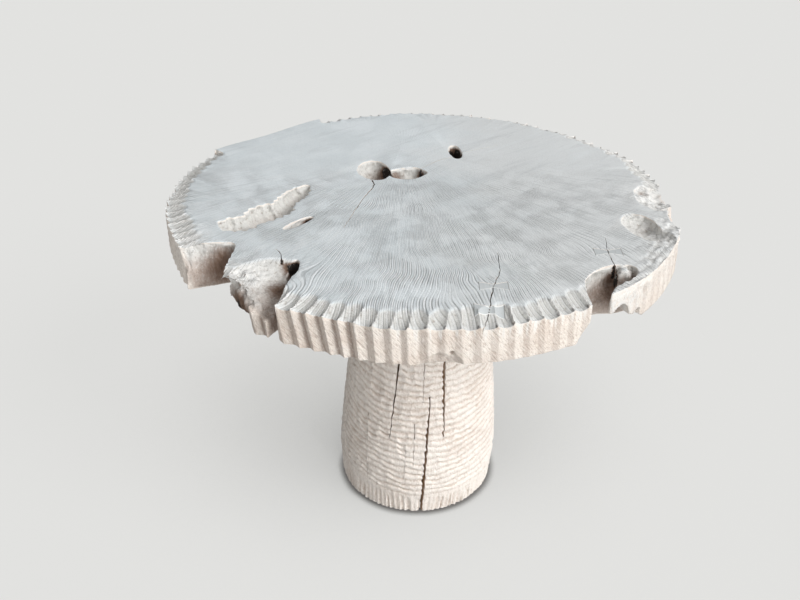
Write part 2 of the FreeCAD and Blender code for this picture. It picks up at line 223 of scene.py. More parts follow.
slab, column, ring = ringed_drum("carved_slab", RIM_COLUMNS, ())
bearing = column * 360 / RIM_COLUMNS
radius = rim_radius(bearing)
put_points(slab, np.column_stack([
    radius * np.cos(np.radians(bearing)),
    radius * np.sin(np.radians(bearing)),
    np.where(ring == 0, UNDERSIDE, TOP),
]))
print("slab blank", slab.dimensions[:])

# %% [markdown]
# ## Bites out of the rim
#
# The rim has rotted or broken away in several places. Each bite has one outline on the top and another on
# the underside, so its wall leans. A drum follows both outlines, bulges a little between them, and keeps
# to the top outline down to the height at which its wall starts to lean. The front left bite is a dish
# with a floor, and a narrow gap beside it goes right through.

# %% Bites
BITE_COLUMNS = 48
MOUTH_COLUMNS = 8
OVERSHOOT = 0.012
OUTSIDE = 0.06
LEAST_LEFT = 0.5
EVEN_BITE = [(-0.5, 0), (-0.4, 0.8), (0, 1), (0.4, 0.8), (0.5, 0)]
BITES = {
    # lean: the shares of the height between which the wall leans
    # floor: where the bite ends, if it does not go right through
    "left_bite": {
        "bearing": 215.5, "shift": 0.086, "bulge": 0.004, "lean": (0.0, 1.0),
        "top": (0.190, 0.098, [(-0.5, 0), (-0.27, 0.5), (-0.06, 1), (0.2, 0.55), (0.5, 0)]),
        "low": (0.215, 0.095, [(-0.5, 0), (-0.46, 0.5), (-0.36, 1), (0.1, 0.95), (0.5, 0)]),
    },
    "lobe_slope": {
        "bearing": 229, "shift": 0.010, "bulge": 0.0, "lean": (0.0, 1.0),
        "top": (0.084, 0.024, EVEN_BITE),
        "low": (0.110, 0.054, EVEN_BITE),
    },
    "front_bite": {
        "bearing": 237, "shift": 0.0, "bulge": 0.002, "lean": (0.0, 0.8), "floor": 0.712,
        "top": (0.100, 0.142, [(-1.12, 0), (-1.07, 0.42), (-0.85, 0.81), (-0.55, 0.96), (-0.15, 1),
                               (0.12, 0.6), (0.37, 0.14), (0.44, 0)]),
        "low": (0.100, 0.088, [(0.12, 0), (0.13, 0.35), (0.14, 0.7), (0.18, 0.96), (0.26, 1), (0.34, 0.85),
                               (0.42, 0.34), (0.45, 0)]),
    },
    "front_gap": {
        "bearing": 237, "shift": 0.0, "bulge": 0.0, "lean": (0.0, 1.0),
        "top": (0.100, 0.088, [(0.24, 0), (0.20, 0.5), (0.08, 0.9), (0.11, 1), (0.17, 0.8),
                               (0.36, 0.25), (0.43, 0)]),
        "low": (0.100, 0.088, [(0.22, 0), (0.20, 0.4), (0.19, 0.8), (0.22, 1), (0.28, 0.9),
                               (0.40, 0.35), (0.44, 0)]),
    },
    "right_chip": {
        "bearing": 348, "shift": 0.0, "bulge": 0.0, "lean": (0.0, 1.0),
        "top": (0.130, 0.024, [(-0.5, 0), (-0.25, 0.7), (0.05, 1), (0.3, 0.8), (0.5, 0)]),
        "low": (0.090, 0.012, [(-0.5, 0), (-0.25, 0.7), (0.05, 1), (0.3, 0.8), (0.5, 0)]),
    },
    "right_bite": {
        "bearing": 305.5, "shift": 0.036, "bulge": 0.006, "lean": (0.12, 0.50),
        "top": (0.048, 0.078, [(-0.5, 0), (0.35, 0.79), (1.8, 1), (2.7, 0.66), (2.3, 0.30),
                               (1.1, 0.20), (0.4, 0)]),
        "low": (0.181, 0.060, [(-0.5, 0), (-0.42, 0.5), (-0.25, 1), (0.05, 1), (0.25, 0.7),
                               (0.45, 0.57), (0.5, 0)]),
    },
}


def bite_loop(bite, level, shift):
    """The closed outline of a bite at one level, in plan."""
    angle = math.radians(bite["bearing"])
    outward = np.array([math.cos(angle), math.sin(angle)])
    along = np.array([-math.sin(angle), math.cos(angle)])
    width, depth, form = bite[level]
    mouth = outward * rim_radius(np.array(bite["bearing"])) + along * shift
    inner = curve_through([mouth + along * share * width - outward * reach * depth for share, reach in form],
                          BITE_COLUMNS - MOUTH_COLUMNS)
    back = np.linspace(inner[-1], inner[0], MOUTH_COLUMNS) + outward * OUTSIDE
    return np.vstack([inner, back]), outward


def lumps(name, size, depth=2):
    """A cloudy texture for roughening a surface."""
    texture = bpy.data.textures.new(name, "CLOUDS")
    texture.noise_scale = size
    texture.noise_depth = depth
    return texture


def face_outwards(piece):
    """Turns all faces of a closed piece outwards."""
    pick(piece)
    bpy.ops.object.mode_set(mode="EDIT")
    bpy.ops.mesh.select_all(action="SELECT")
    bpy.ops.mesh.normals_make_consistent(inside=False)
    bpy.ops.object.mode_set(mode="OBJECT")


def bite_cutter(name, bite):
    """A drum that leans from the low outline to the top one."""
    cutter, column, ring = ringed_drum(name, BITE_COLUMNS, (11,))
    share = ring / ring.max()
    low, outward = bite_loop(bite, "low", bite["shift"])
    top, _ = bite_loop(bite, "top", 0)
    inner = column < BITE_COLUMNS - MOUTH_COLUMNS
    lean_from, lean_to = bite["lean"]
    leaned = np.clip((share - lean_from) / (lean_to - lean_from), 0, 1)
    plan = low[column] + (top[column] - low[column]) * leaned[:, None]
    plan -= outward * (bite["bulge"] * np.sin(np.pi * share) * inner)[:, None]
    floor = bite.get("floor", UNDERSIDE - OVERSHOOT)
    height = floor + (TOP + OVERSHOOT - floor) * share
    put_points(cutter, np.column_stack([plan, height]))
    face_outwards(cutter)
    return cutter


def cut_out(piece, cutter):
    """Takes one solid from another and removes the cutter.

    A cut that loses most of the piece is undone and made with the other solver."""
    whole = piece.data.copy()
    for solver in ("EXACT", "FAST"):
        finish_with(piece, "BOOLEAN", operation="DIFFERENCE", solver=solver, object=cutter)
        if len(piece.data.polygons) > LEAST_LEFT * len(whole.polygons):
            break
        piece.data = whole.copy()
        print(cutter.name, "lost the piece with the", solver, "solver")
    bpy.data.objects.remove(cutter)


for name, bite in BITES.items():
    cut_out(slab, bite_cutter(name, bite))
print("after the bites", len(slab.data.vertices), "vertices")

# %% [markdown]
# ## Hollows in the top
#
# The heart and the sapwood have weathered out in scoops and pits. Each is a ball, stretched, tilted on
# its long axis so that one wall overhangs, turned and lowered into the top.

# %% Hollows
HOLLOWS = {
    # name: (x, y, height above the top, turn, tilt, half length, half width, depth)
    "scoop_low": (-0.364, -0.158, 0, 20, 24, 0.044, 0.036, 0.032),
    "scoop_mid": (-0.312, -0.104, 0, 45, 24, 0.066, 0.038, 0.038),
    "scoop_high": (-0.270, -0.025, 0, 65, 24, 0.066, 0.026, 0.030),
    "slot": (-0.243, -0.155, 0, 48, 0, 0.042, 0.011, 0.030),
    "heart_hole": (-0.095, 0.125, 0, 100, 0, 0.058, 0.037, 0.060),
    "heart_shaft": (-0.076, 0.120, -0.034, 100, 0, 0.050, 0.026, 0.044),
    "heart_bowl": (-0.018, 0.108, 0, 15, 0, 0.042, 0.035, 0.038),
    "bowl_pit": (0.008, 0.110, -0.014, 15, 0, 0.020, 0.020, 0.032),
    "back_hole": (0.098, 0.240, 0, 95, 0, 0.044, 0.015, 0.055),
    "apex_pit": (-0.237, -0.352, -0.012, -99, 0, 0.036, 0.012, 0.050),
    "right_scoop": (0.456, -0.170, 0, -78, -10, 0.060, 0.036, 0.021),
    "scoop_tail": (0.490, -0.205, 0, -60, 0, 0.036, 0.018, 0.008),
    "right_break": (0.524, -0.022, 0, 82, 0, 0.070, 0.050, 0.015),
    "break_step": (0.540, 0.006, -0.006, 70, 0, 0.050, 0.030, 0.018),
    "rim_notch": (0.545, -0.066, -0.010, 10, 0, 0.030, 0.012, 0.026),
    "break_pit": (0.500, 0.012, 0, 15, 0, 0.020, 0.006, 0.016),
    "rim_chip": (0.038, -0.553, -0.087, 4, 0, 0.038, 0.012, 0.027),
    "chip_pit": (0.054, -0.548, -0.062, 4, 0, 0.006, 0.010, 0.006),
    "lip_arch": (0.364, -0.430, -0.076, 36, 0, 0.030, 0.034, 0.044),
    "lip_chip": (0.412, -0.398, -0.072, 45, 0, 0.012, 0.020, 0.010),
}
RIBBED = ("scoop_low", "scoop_mid", "scoop_high")
RIB_PITCH = 0.020
RIB_SHARE = 0.09


def hollow_ball(name, x, y, rise, turn, tilt, half_length, half_width, depth):
    """A stretched and roughened ball, half sunk into the top unless it is raised or lowered."""
    bpy.ops.object.select_all(action="DESELECT")
    bpy.ops.mesh.primitive_ico_sphere_add(subdivisions=5, radius=1)
    ball = bpy.context.object
    ball.name = name
    shape = points_of(ball)
    if name in RIBBED:
        shape *= 1 + RIB_SHARE * np.sin(2 * np.pi * shape[:, :1] * half_length / RIB_PITCH)
    points = shape * (half_length, half_width, depth)
    lean, swing = math.radians(tilt), math.radians(turn)
    across = points[:, 1] * math.cos(lean) - points[:, 2] * math.sin(lean)
    height = points[:, 1] * math.sin(lean) + points[:, 2] * math.cos(lean)
    put_points(ball, np.column_stack([
        x + points[:, 0] * math.cos(swing) - across * math.sin(swing),
        y + points[:, 0] * math.sin(swing) + across * math.cos(swing),
        TOP + rise + height,
    ]))
    finish_with(ball, "DISPLACE", texture=lumps(name, 0.03), strength=min(0.010, half_width / 3),
                mid_level=0.5)
    return ball


KNOBS = {
    "bite_knob": (0.386, -0.352, -0.030, 40, 0, 0.020, 0.018, 0.030),
    "lobe_edge": (-0.319, -0.390, -0.044, -54, 0, 0.058, 0.019, 0.024),
}
for name, form in KNOBS.items():
    knob = hollow_ball(name, *form)
    finish_with(slab, "BOOLEAN", operation="UNION", solver="EXACT", object=knob)
    bpy.data.objects.remove(knob)
for name, form in HOLLOWS.items():
    cut_out(slab, hollow_ball(name, *form))
print("after the hollows", len(slab.data.vertices), "vertices")

# %% [markdown]
# ## An even skin to carve
#
# The cut blank has long thin faces that can't be shaped. A voxel remesh gives it an even skin of small
# faces, like a block of clay, and the gouge work is then pressed into that skin by formula.

# %% Remesh
VOXEL = 0.0026

finish_with(slab, "REMESH", mode="VOXEL", voxel_size=VOXEL)
print("slab skin", len(slab.data.polygons), "faces")

# %% [markdown]
# ## Torn wood
#
# Inside the bites and hollows the wood is torn and weathered. Those vertices are found by their place,
# neither on the top, the underside nor the rim. Their edges are smoothed first, as if worn by weather,
# and then two cloudy textures push the walls about. A third roughens the weathered patches near the rim.

# %% Torn walls
FACE_MARGIN = 0.003
RIM_MARGIN = 0.008
EDGE_ROUNDS = 2
EDGE_PASSES = 3


def wall_share(points):
    """How far each vertex belongs to a torn wall, from 0 to 1."""
    bearing, distance = polar(points)
    inside = ease(0.5 * RIM_MARGIN, 2 * RIM_MARGIN, rim_radius(bearing) - distance)
    below_top = ease(0, FACE_MARGIN, TOP - points[:, 2] - VOXEL)
    above_underside = ease(0, FACE_MARGIN, points[:, 2] - UNDERSIDE - VOXEL)
    return inside * below_top * above_underside


def spread(piece, weights, rounds):
    """Carries weights over to neighbouring vertices, round by round."""
    first, last = edge_ends(piece)
    for _ in range(rounds):
        reached = weights.copy()
        np.maximum.at(reached, first, weights[last])
        np.maximum.at(reached, last, weights[first])
        weights = reached
    return weights


put_group(slab, "edges", spread(slab, wall_share(points_of(slab)), EDGE_ROUNDS))
finish_with(slab, "SMOOTH", factor=0.5, iterations=EDGE_PASSES, vertex_group="edges")
put_group(slab, "walls", wall_share(points_of(slab)))
ROUGH_SPOTS = [
    # x, y, z, reach, strength
    (0.500, -0.250, 0.76, 0.060, 1.0),
    (0.525, -0.170, 0.76, 0.050, 1.0),
    (0.460, -0.330, 0.76, 0.050, 0.8),
    (0.400, -0.400, 0.76, 0.045, 0.8),
    (0.530, -0.030, 0.76, 0.060, 1.0),
    (0.545, 0.050, 0.76, 0.040, 0.6),
    (-0.450, -0.225, 0.76, 0.050, 0.6),
    (-0.335, -0.345, 0.75, 0.050, 0.8),
]


def spotted(points, spots):
    """The sum of soft spots at each point."""
    total = np.zeros(len(points))
    for x, y, z, reach, strength in spots:
        total += strength * np.exp(-((points - (x, y, z)) ** 2).sum(axis=1) / reach ** 2)
    return total


def roughen(piece, group, name, size, strength, mid_level=0.5):
    """Pushes a group of vertices about with a cloudy texture."""
    finish_with(piece, "DISPLACE", texture=lumps(name, size), strength=strength, mid_level=mid_level,
                vertex_group=group, texture_coords="LOCAL")


put_group(slab, "rough", np.clip(spotted(points_of(slab), ROUGH_SPOTS), 0, 1))
roughen(slab, "rough", "weathered_lumps", 0.020, 0.010, 0.75)
roughen(slab, "walls", "torn_lumps", 0.04, 0.010)
roughen(slab, "walls", "torn_fibres", 0.010, 0.0040)
print("roughened by", [texture.name for texture in bpy.data.textures][-3:])

# %% [markdown]
# ## Gouge work on the rim
#
# This is the feature that takes the most skill. Round the rim stand upright gouge hollows, side by side,
# and above each the gouge has entered the top a few fingers' breadth in and run out over the edge. Every
# stroke differs a little in length, depth and direction. A stretch at the back left was never carved, and
# one at the right has broken away. There the wood has weathered into soft folds along the edge.

# %% Flutes and strokes
FLUTE_PITCH = 0.029
FLUTE_COUNT = round(2 * math.pi * TOP_RADIUS / FLUTE_PITCH)
FLUTE_DEPTH = 0.0076
FLUTE_STRENGTH = ((0, 0.8), (225, 0.9), (250, 1.05), (258, 1.0),
                  (270, 0.6), (282, 0.25), (304, 0.2), (360, 0.8))
FLUTE_ROUND = 0.92
FLUTE_VALLEY = 0.14
FLUTE_LEAN = 0.4
FLUTE_LEAN_LEFT = 1.4
STROKE_HOLLOW = 0.0054
STROKE_TILT = 0.0010
STROKE_DROP = 0.015
STROKE_FRONT = 0.056
STROKE_BACK = 0.040
STROKE_SKEW = 9
FOLD_PITCH = 0.017
FOLD_DEPTH = 0.0024
FOLD_WANDER = 0.005
FOLD_SPOTS = [
    (0.505, -0.245, 0.76, 0.042, 1.0),
    (0.470, -0.315, 0.76, 0.042, 1.0),
    (0.420, -0.385, 0.76, 0.038, 0.9),
]
BARE_STRETCHES = ((118, 152), (306, 356))
LOBE_BEARING = 229
LOBE_WIDTH = 7
LOBE_REACH = 0.05

dice = random.Random(11)


def throws(low, high):
    """One number between two limits for each flute."""
    return np.array([dice.uniform(low, high) for _ in range(FLUTE_COUNT)])


flute_width = throws(0.88, 1.12) * (1 - 0.06 * np.sin(2 * np.pi * np.arange(FLUTE_COUNT) / FLUTE_COUNT))
flute_edges = np.concatenate([[0], np.cumsum(flute_width)]) * 360 / flute_width.sum()
flute_middle = (flute_edges[:-1] + flute_edges[1:]) / 2
flute_carved = np.array([not any(low < turn < high for low, high in BARE_STRETCHES) for turn in flute_middle])
flute_depth = FLUTE_DEPTH * throws(0.75, 1.2) * flute_carved
flute_depth *= np.interp(flute_middle, *zip(*FLUTE_STRENGTH))
stroke_length = STROKE_BACK + (STROKE_FRONT - STROKE_BACK) * (1 - np.sin(np.radians(flute_middle))) / 2
stroke_length *= throws(0.85, 1.12)
stroke_drop = STROKE_DROP * throws(0.85, 1.15)
stroke_skew = np.radians(throws(STROKE_SKEW - 5, STROKE_SKEW + 5))
stroke_shift = throws(-0.0015, 0.0015)


def flute_place(points):
    """The flute that each point lies in, and the place across it from -1 to 1."""
    bearing, _ = polar(points)
    lean = FLUTE_LEAN + FLUTE_LEAN_LEFT * (1 - ease(248, 268, bearing))
    place = (bearing - lean * (TOP - points[:, 2]) / THICKNESS) % 360
    index = np.clip(np.searchsorted(flute_edges, place, side="right") - 1, 0, FLUTE_COUNT - 1)
    return index, 2 * (place - flute_edges[index]) / (flute_edges[index + 1] - flute_edges[index]) - 1


def flute_hollow(points):
    """How far the rim is hollowed at each point: a valley with one wall steeper than the other."""
    index, across = flute_place(points)
    left = (1 + across) / (1 + FLUTE_VALLEY)
    right = (1 - across) / (1 - FLUTE_VALLEY)
    return flute_depth[index] * np.clip(np.minimum(left, right), 0, 1) ** FLUTE_ROUND


def stroke_surface(points):
    """Height that the gouge strokes leave at each point, and how far across its stroke the point lies."""
    bearing, _ = polar(points)
    nearest = np.searchsorted(flute_edges, bearing, side="right") - 1
    surface = np.full(len(points), TOP + 1.0)
    sideways = np.full(len(points), 9.0)
    for step in (-1, 0, 1):
        index = (nearest + step) % FLUTE_COUNT
        angle = np.radians(flute_middle[index])
        rim = rim_radius(flute_middle[index])
        heading = angle + np.pi - stroke_skew[index]
        away_x = points[:, 0] - rim * np.cos(angle)
        away_y = points[:, 1] - rim * np.sin(angle)
        along = away_x * np.cos(heading) + away_y * np.sin(heading)
        across = away_y * np.cos(heading) - away_x * np.sin(heading) + stroke_shift[index]
        side = across / (FLUTE_PITCH / 2)
        share = along / stroke_length[index]
        floor = TOP - stroke_drop[index] * (1 - share * np.abs(share))
        track = floor + STROKE_HOLLOW * side ** 2 + STROKE_TILT * side
        nearer = np.abs(side) < np.abs(sideways)
        surface = np.where(nearer, np.where(flute_carved[index], track, TOP + 1.0), surface)
        sideways = np.where(nearer, side, sideways)
    return surface, sideways


points = points_of(slab)
bearing, distance = polar(points)
inset = rim_radius(bearing) - distance
facing_out = (normals_of(slab)[:, :2] * points[:, :2]).sum(axis=1) / distance
lobe = LOBE_REACH * np.exp(-((bearing - LOBE_BEARING) / LOBE_WIDTH) ** 2) * ease(0.3, 0.7, facing_out)
pull = flute_hollow(points) * (1 - ease(0.002, 0.02, inset - lobe))
shrink = 1 - pull / np.maximum(distance, 0.1)
points[:, 0] *= shrink
points[:, 1] *= shrink
wander = np.sin(np.radians(bearing * 9)) + 0.6 * np.sin(np.radians(bearing * 23))
wander = wander + 0.7 * np.sin(90 * points[:, 0])
fold = np.sin(2 * np.pi * (inset + FOLD_WANDER * wander) / FOLD_PITCH)
folded = np.clip(spotted(points, FOLD_SPOTS), 0, 1) * ease(UNDERSIDE + THICKNESS / 2, TOP, points[:, 2])
points[:, 2] -= FOLD_DEPTH * folded * (0.5 + 0.5 * fold) ** 2
surface, _ = stroke_surface(points)
upper = points[:, 2] > UNDERSIDE + THICKNESS / 3
points[:, 2] = np.where(upper, np.minimum(points[:, 2], surface), points[:, 2])
put_points(slab, points)
print(FLUTE_COUNT, "flutes,", int(flute_carved.sum()), "carved")

# %% [markdown]
# ## Fewer faces where the wood is flat
#
# The skin has more faces than a finished piece should. Decimate keeps them where the surface bends, so
# the gouged rim stays crisp and the flat underside falls to a few.

# %% Decimate
SLAB_TRIANGLES = 175000

triangles = 2 * len(slab.data.polygons)
finish_with(slab, "DECIMATE", ratio=min(1, SLAB_TRIANGLES / triangles))
print("slab", len(slab.data.polygons), "faces")

# %% [markdown]
# ## Drying cracks and key mortises
#
# The slab cracked as it dried, and the maker let butterfly keys into the top to stop two of the cracks. A
# crack is a ragged wedge that follows a line on the surface and closes with depth. The mortise is the
# key's own shape, a hair larger, so that a fine gap shows round each key.

# %% Crack cutters
CRACK_LIFT = 0.010
CRACK_LIP = 0.003
CRACK_STEP = 0.009
GAP_POINTS = 60
CRACKS = {
    # name: (points in plan, width at the first point, width at the last, depth)
    "heart_crack": ([(-0.100, 0.075), (-0.093, 0.033), (-0.115, -0.037), (-0.150, -0.180)],
                    0.0060, 0.0012, 0.060),
    "bowl_crack": ([(0.010, 0.130), (0.059, 0.186), (0.098, 0.208)], 0.0012, 0.0020, 0.020),
    "back_crack": ([(0.108, 0.230), (0.121, 0.238), (0.205, 0.284)], 0.0020, 0.0010, 0.020),
    "side_crack": ([(-0.278, -0.2735), (-0.264, -0.290), (-0.260, -0.318)], 0.0012, 0.0040, 0.030),
}
POLAR_CRACKS = {
    # name: (bearing and inset of its points, width at the first point, width at the last, depth)
    "front_crack": ([(298, 0.233), (292.5, 0.165), (287.8, 0.118), (283.6, 0.045), (280.3, -0.012)],
                    0.0018, 0.0040, 0.026),
    "right_crack": ([(328.9, 0.131), (322.2, 0.103), (315.5, 0.050)], 0.0010, 0.0026, 0.030),
}


def crack_cutter(name, line, inward, widths, depth):
    """A ragged wedge that follows a line on a surface and closes inwards."""
    cutter, column, ring = ringed_drum(name, 6, (len(line) - 2,))
    side = np.cross(np.gradient(line, axis=0), inward)
    side /= np.linalg.norm(side, axis=1)[:, None]
    ragged = np.array([dice.uniform(-1, 1) for _ in line])
    line = line + side * (ragged * 0.0012)[:, None]
    half = side * (widths * (1 + 0.35 * np.roll(ragged, 1)) / 2)[:, None]
    lift = inward * CRACK_LIFT
    lip = inward * CRACK_LIP
    bottom = inward * depth
    corners = np.stack([
        line - lift + half, line - lift - half,
        line + lip - 0.8 * half, line + bottom - 0.1 * half,
        line + bottom + 0.1 * half, line + lip + 0.8 * half,
    ])
    put_points(cutter, corners[column, ring])
    face_outwards(cutter)
    return cutter


def top_crack(name, plan, first_width, last_width, depth):
    """A crack cutter that runs over the top."""
    plan = np.array(plan)
    count = max(6, round(np.linalg.norm(np.diff(plan, axis=0), axis=1).sum() / CRACK_STEP))
    line = np.column_stack([curve_through(plan, count), np.full(count, TOP)])
    inward = np.tile([0.0, 0.0, -1.0], (count, 1))
    return crack_cutter(name, line, inward, np.linspace(first_width, last_width, count), depth)


for name, (turns, *sizes) in POLAR_CRACKS.items():
    CRACKS[name] = ([((rim_radius(np.array(turn)) - inset) * math.cos(math.radians(turn)),
                      (rim_radius(np.array(turn)) - inset) * math.sin(math.radians(turn)))
                     for turn, inset in turns], *sizes)
crack_cutters = [top_crack(name, *form) for name, form in CRACKS.items()]


def crack_gap(points, plan):
    """Distance in plan from each point to the line of a crack."""
    line = curve_through(np.array(plan), GAP_POINTS)
    return np.min(np.linalg.norm(points[:, None, :2] - line[None], axis=2), axis=1)


print(len(crack_cutters), "cracks")

# %% [markdown]
# ## Butterfly keys
#
# A key is a small bow tie, widest at its ends, so it can't pull out sideways. Each starts as a drum of
# four columns laid along the key, is drawn in at its waist, divided finely, and then pressed under the
# same gouge strokes as the slab, because the key next to the rim was carved together with it. The
# distance from its sides and from its ends is kept with the mesh, for the pale line of filler along the
# joint.

# %% Keys
KEY_LENGTH = 0.054
KEY_END = 0.031
KEY_WAIST = 0.013
KEY_DEPTH = 0.022
KEY_GAP = 0.0002
KEY_SINK = 0.0002
KEYS = {"key_inner": (287.8, 0.118), "key_rim": (283.6, 0.045), "key_right": (322.2, 0.103)}


def bow_tie(name, turn, inset, allowance, rise):
    """A butterfly along X, sunk from the top, with an allowance all round."""
    tie, column, ring = ringed_drum(name, 4, (17,))
    along = 2 * ring / ring.max() - 1
    half_width = (KEY_WAIST + (KEY_END - KEY_WAIST) * np.abs(along)) / 2 + allowance
    reach = rim_radius(np.array(turn)) - inset
    put_points(tie, np.column_stack([
        reach * math.cos(math.radians(turn)) + along * (KEY_LENGTH / 2 + allowance),
        reach * math.sin(math.radians(turn)) + np.where((column == 1) | (column == 2), 1, -1) * half_width,
        np.where(column >= 2, TOP - KEY_DEPTH - allowance, TOP + rise),
    ]))
    face_outwards(tie)
    return tie


key_pieces = {}
for name, (turn, inset) in KEYS.items():
    key = bow_tie(f"bow_tie_{name}", turn, inset, 0, -KEY_SINK)
    pick(key)
    bpy.ops.object.mode_set(mode="EDIT")
    bpy.ops.mesh.select_all(action="SELECT")
    bpy.ops.mesh.subdivide(number_cuts=9)
    bpy.ops.object.mode_set(mode="OBJECT")
    points = points_of(key)
    surface, _ = stroke_surface(points)
    points[:, 2] = np.minimum(points[:, 2], np.maximum(surface - KEY_SINK, TOP - KEY_DEPTH))
    put_points(key, points)
    finish_with(key, "BEVEL", width=0.0003, segments=2, limit_method="ANGLE", angle_limit=math.radians(50))
    heading = np.array([math.cos(math.radians(turn)), math.sin(math.radians(turn))])
    middle = (rim_radius(np.array(turn)) - inset) * heading
    along, across = np.abs(points_of(key)[:, :2] - middle).T
    width = KEY_WAIST + (KEY_END - KEY_WAIST) * along / (KEY_LENGTH / 2)
    put_attribute(key, "from_side", width / 2 - across)
    put_attribute(key, "from_end", KEY_LENGTH / 2 - along)
    put_attribute(key, "from_crack", np.minimum(crack_gap(points_of(key), CRACKS["front_crack"][0]),
                                                crack_gap(points_of(key), CRACKS["right_crack"][0])))
    key_pieces[name] = key
mortise_cutters = [bow_tie(f"mortise_{name}", *place, KEY_GAP, 0.01) for name, place in KEYS.items()]
print("keys", {name: len(key.data.polygons) for name, key in key_pieces.items()})

# %% Cut the cracks and mortises
for cutter in crack_cutters + mortise_cutters:
    cut_out(slab, cutter)
print("slab", len(slab.data.polygons), "faces after its cracks")

# %% [markdown]
# ## The trunk
#
# The trunk is a drum of rings. Above the foot each chisel row is five rings tall: a lip that stands proud
# of the row below, and a face that leans in as it rises. The rows wander up and down, each mark hangs in
# its own arc and differs in depth, so no row is straight. The foot has upright strokes instead.

# %% Trunk sizes
FOOT_RADIUS = 0.188
BELLY_RADIUS = 0.193
BELLY_HEIGHT = 0.100
CROWN_RADIUS = 0.127
TAPER_POWER = 1.4
FOOT_SHIFT = 0.006
CROWN_SHIFT = 0.024
FOOT_BAND = 0.070
FOOT_RINGS = 14
FOOT_STROKES = 100
FOOT_DEPTH = 0.0042
FOOT_LEAN = 0.004
FOOT_UNDERCUT = 0.004
ROW_COUNT = 38
ROW_RINGS = 5
ROW_LEDGE = 0.0040
ROW_WANDER = 0.0030
ROW_DIP = 0.010
ROW_TILT = 0.005
MARK_COUNT = 40
MARK_ARC = 0.0040
MARK_HOLLOW = 0.0018
TRUNK_COLUMNS = 400
STEP_RISE = np.array([0.0, 0.18, 0.38, 0.58, 0.80])
STEP_STAND = np.array([0.0, 0.48, 0.95, 1.0, 0.50])
# Painted shade for each step of a row, darkest under the lip.
STEP_CREVICE_SHADE = np.array([0.7, 0.3, 0.0, 0.0, 0.3])


def trunk_radius(height):
    """Radius of the trunk's proud edges at each height."""
    below = np.clip(BELLY_HEIGHT - height, 0, 1) / BELLY_HEIGHT
    foot = BELLY_RADIUS - (BELLY_RADIUS - FOOT_RADIUS) * below ** 2
    rise = np.clip(height - BELLY_HEIGHT, 0, 1) / (UNDERSIDE - BELLY_HEIGHT)
    taper = BELLY_RADIUS - (BELLY_RADIUS - CROWN_RADIUS) * rise ** TAPER_POWER
    return np.where(height < BELLY_HEIGHT, foot, taper)


def trunk_lean(height):
    """How far right the trunk's middle is at each height."""
    return FOOT_SHIFT + (CROWN_SHIFT - FOOT_SHIFT) * height / UNDERSIDE


def random_marks(rows, count, low, high):
    """Edges of chisel marks round each row, in turns, and a random strength for each mark."""
    edges, strength = [], []
    for _ in range(rows):
        widths = np.array([dice.uniform(0.6, 1.4) for _ in range(count)])
        edges.append(np.concatenate([[0], np.cumsum(widths) / widths.sum()]))
        strength.append([dice.uniform(low, high) for _ in range(count)])
    return np.array(edges), np.array(strength), np.array([dice.random() for _ in range(rows)])


def mark_place(turn, row, marks):
    """The place across its mark, from -1 to 1, and the strength of that mark."""
    edges, strength, phase = marks
    across = np.zeros(len(turn))
    force = np.zeros(len(turn))
    for number in range(len(edges)):
        here = row == number
        place = (turn[here] + phase[number]) % 1
        index = np.clip(np.searchsorted(edges[number], place, side="right") - 1, 0, strength.shape[1] - 1)
        width = edges[number][index + 1] - edges[number][index]
        across[here] = 2 * (place - edges[number][index]) / width - 1
        force[here] = strength[number][index]
    return across, force


# %% Carve the trunk
trunk, column, ring = ringed_drum("carved_trunk", TRUNK_COLUMNS, (50, 3))
turn = column / TRUNK_COLUMNS
angle = 2 * np.pi * turn
row = np.maximum(ring - FOOT_RINGS, 0) // ROW_RINGS
step = np.maximum(ring - FOOT_RINGS, 0) % ROW_RINGS
in_foot = ring < FOOT_RINGS

chisel_marks = random_marks(ROW_COUNT + 1, MARK_COUNT, 0.2, 1.6)
foot_marks = random_marks(1, FOOT_STROKES, 0.2, 1.7)


def row_edge(turn, row):
    """Height of the lower edge of a row: a slow wave, and an arc for each mark."""
    angle = 2 * np.pi * turn
    across, force = mark_place(turn, row, chisel_marks)
    wave = np.sin(2 * angle + 0.21 * row) + 0.8 * np.sin(5 * angle - 0.33 * row + 1)
    wave = wave + 0.6 * np.sin(13 * angle + row)
    settle = np.clip((ROW_COUNT - row) / 4, 0, 1)
    height = FOOT_BAND + row * (UNDERSIDE - FOOT_BAND) / ROW_COUNT
    dip = ROW_DIP * np.cos(2 * angle) - ROW_TILT * np.cos(angle)
    return height + settle * (dip + ROW_WANDER * wave - MARK_ARC * force * (1 - across ** 2))


low_edge = row_edge(turn, row)
high_edge = row_edge(turn, np.minimum(row + 1, ROW_COUNT))
height = np.where(in_foot, low_edge * ring / FOOT_RINGS, low_edge + (high_edge - low_edge) * STEP_RISE[step])
across, force = mark_place(turn, row, chisel_marks)
stand = ROW_LEDGE * (STEP_STAND[step] - 1) * (0.4 + 0.6 * force)
stand -= MARK_HOLLOW * force * (1 - across ** 2) * (step > 0)
foot_turn = (turn + FOOT_LEAN * np.sin(6 * angle) * ring / FOOT_RINGS) % 1
foot_across, foot_force = mark_place(foot_turn, np.zeros(len(turn), int), foot_marks)
foot_groove = foot_force * (1 - np.abs(foot_across) ** 1.3)
foot_fade = 1 - ease(0.55, 1, ring / FOOT_RINGS + 0.25 * (foot_force - 1))
stand = np.where(in_foot, -FOOT_DEPTH * foot_groove * foot_fade - 0.4 * ROW_LEDGE, stand)
stand = np.where(ring == FOOT_RINGS, -0.6 * ROW_LEDGE, stand)
stand = np.where(ring == 0, stand - FOOT_UNDERCUT, stand)
reach = trunk_radius(height) + stand
put_points(trunk, np.column_stack([
    trunk_lean(height) + reach * np.cos(angle),
    reach * np.sin(angle),
    height,
]))
put_group(trunk, "side", ((ring > 0) & (ring < ring.max())).astype(float))
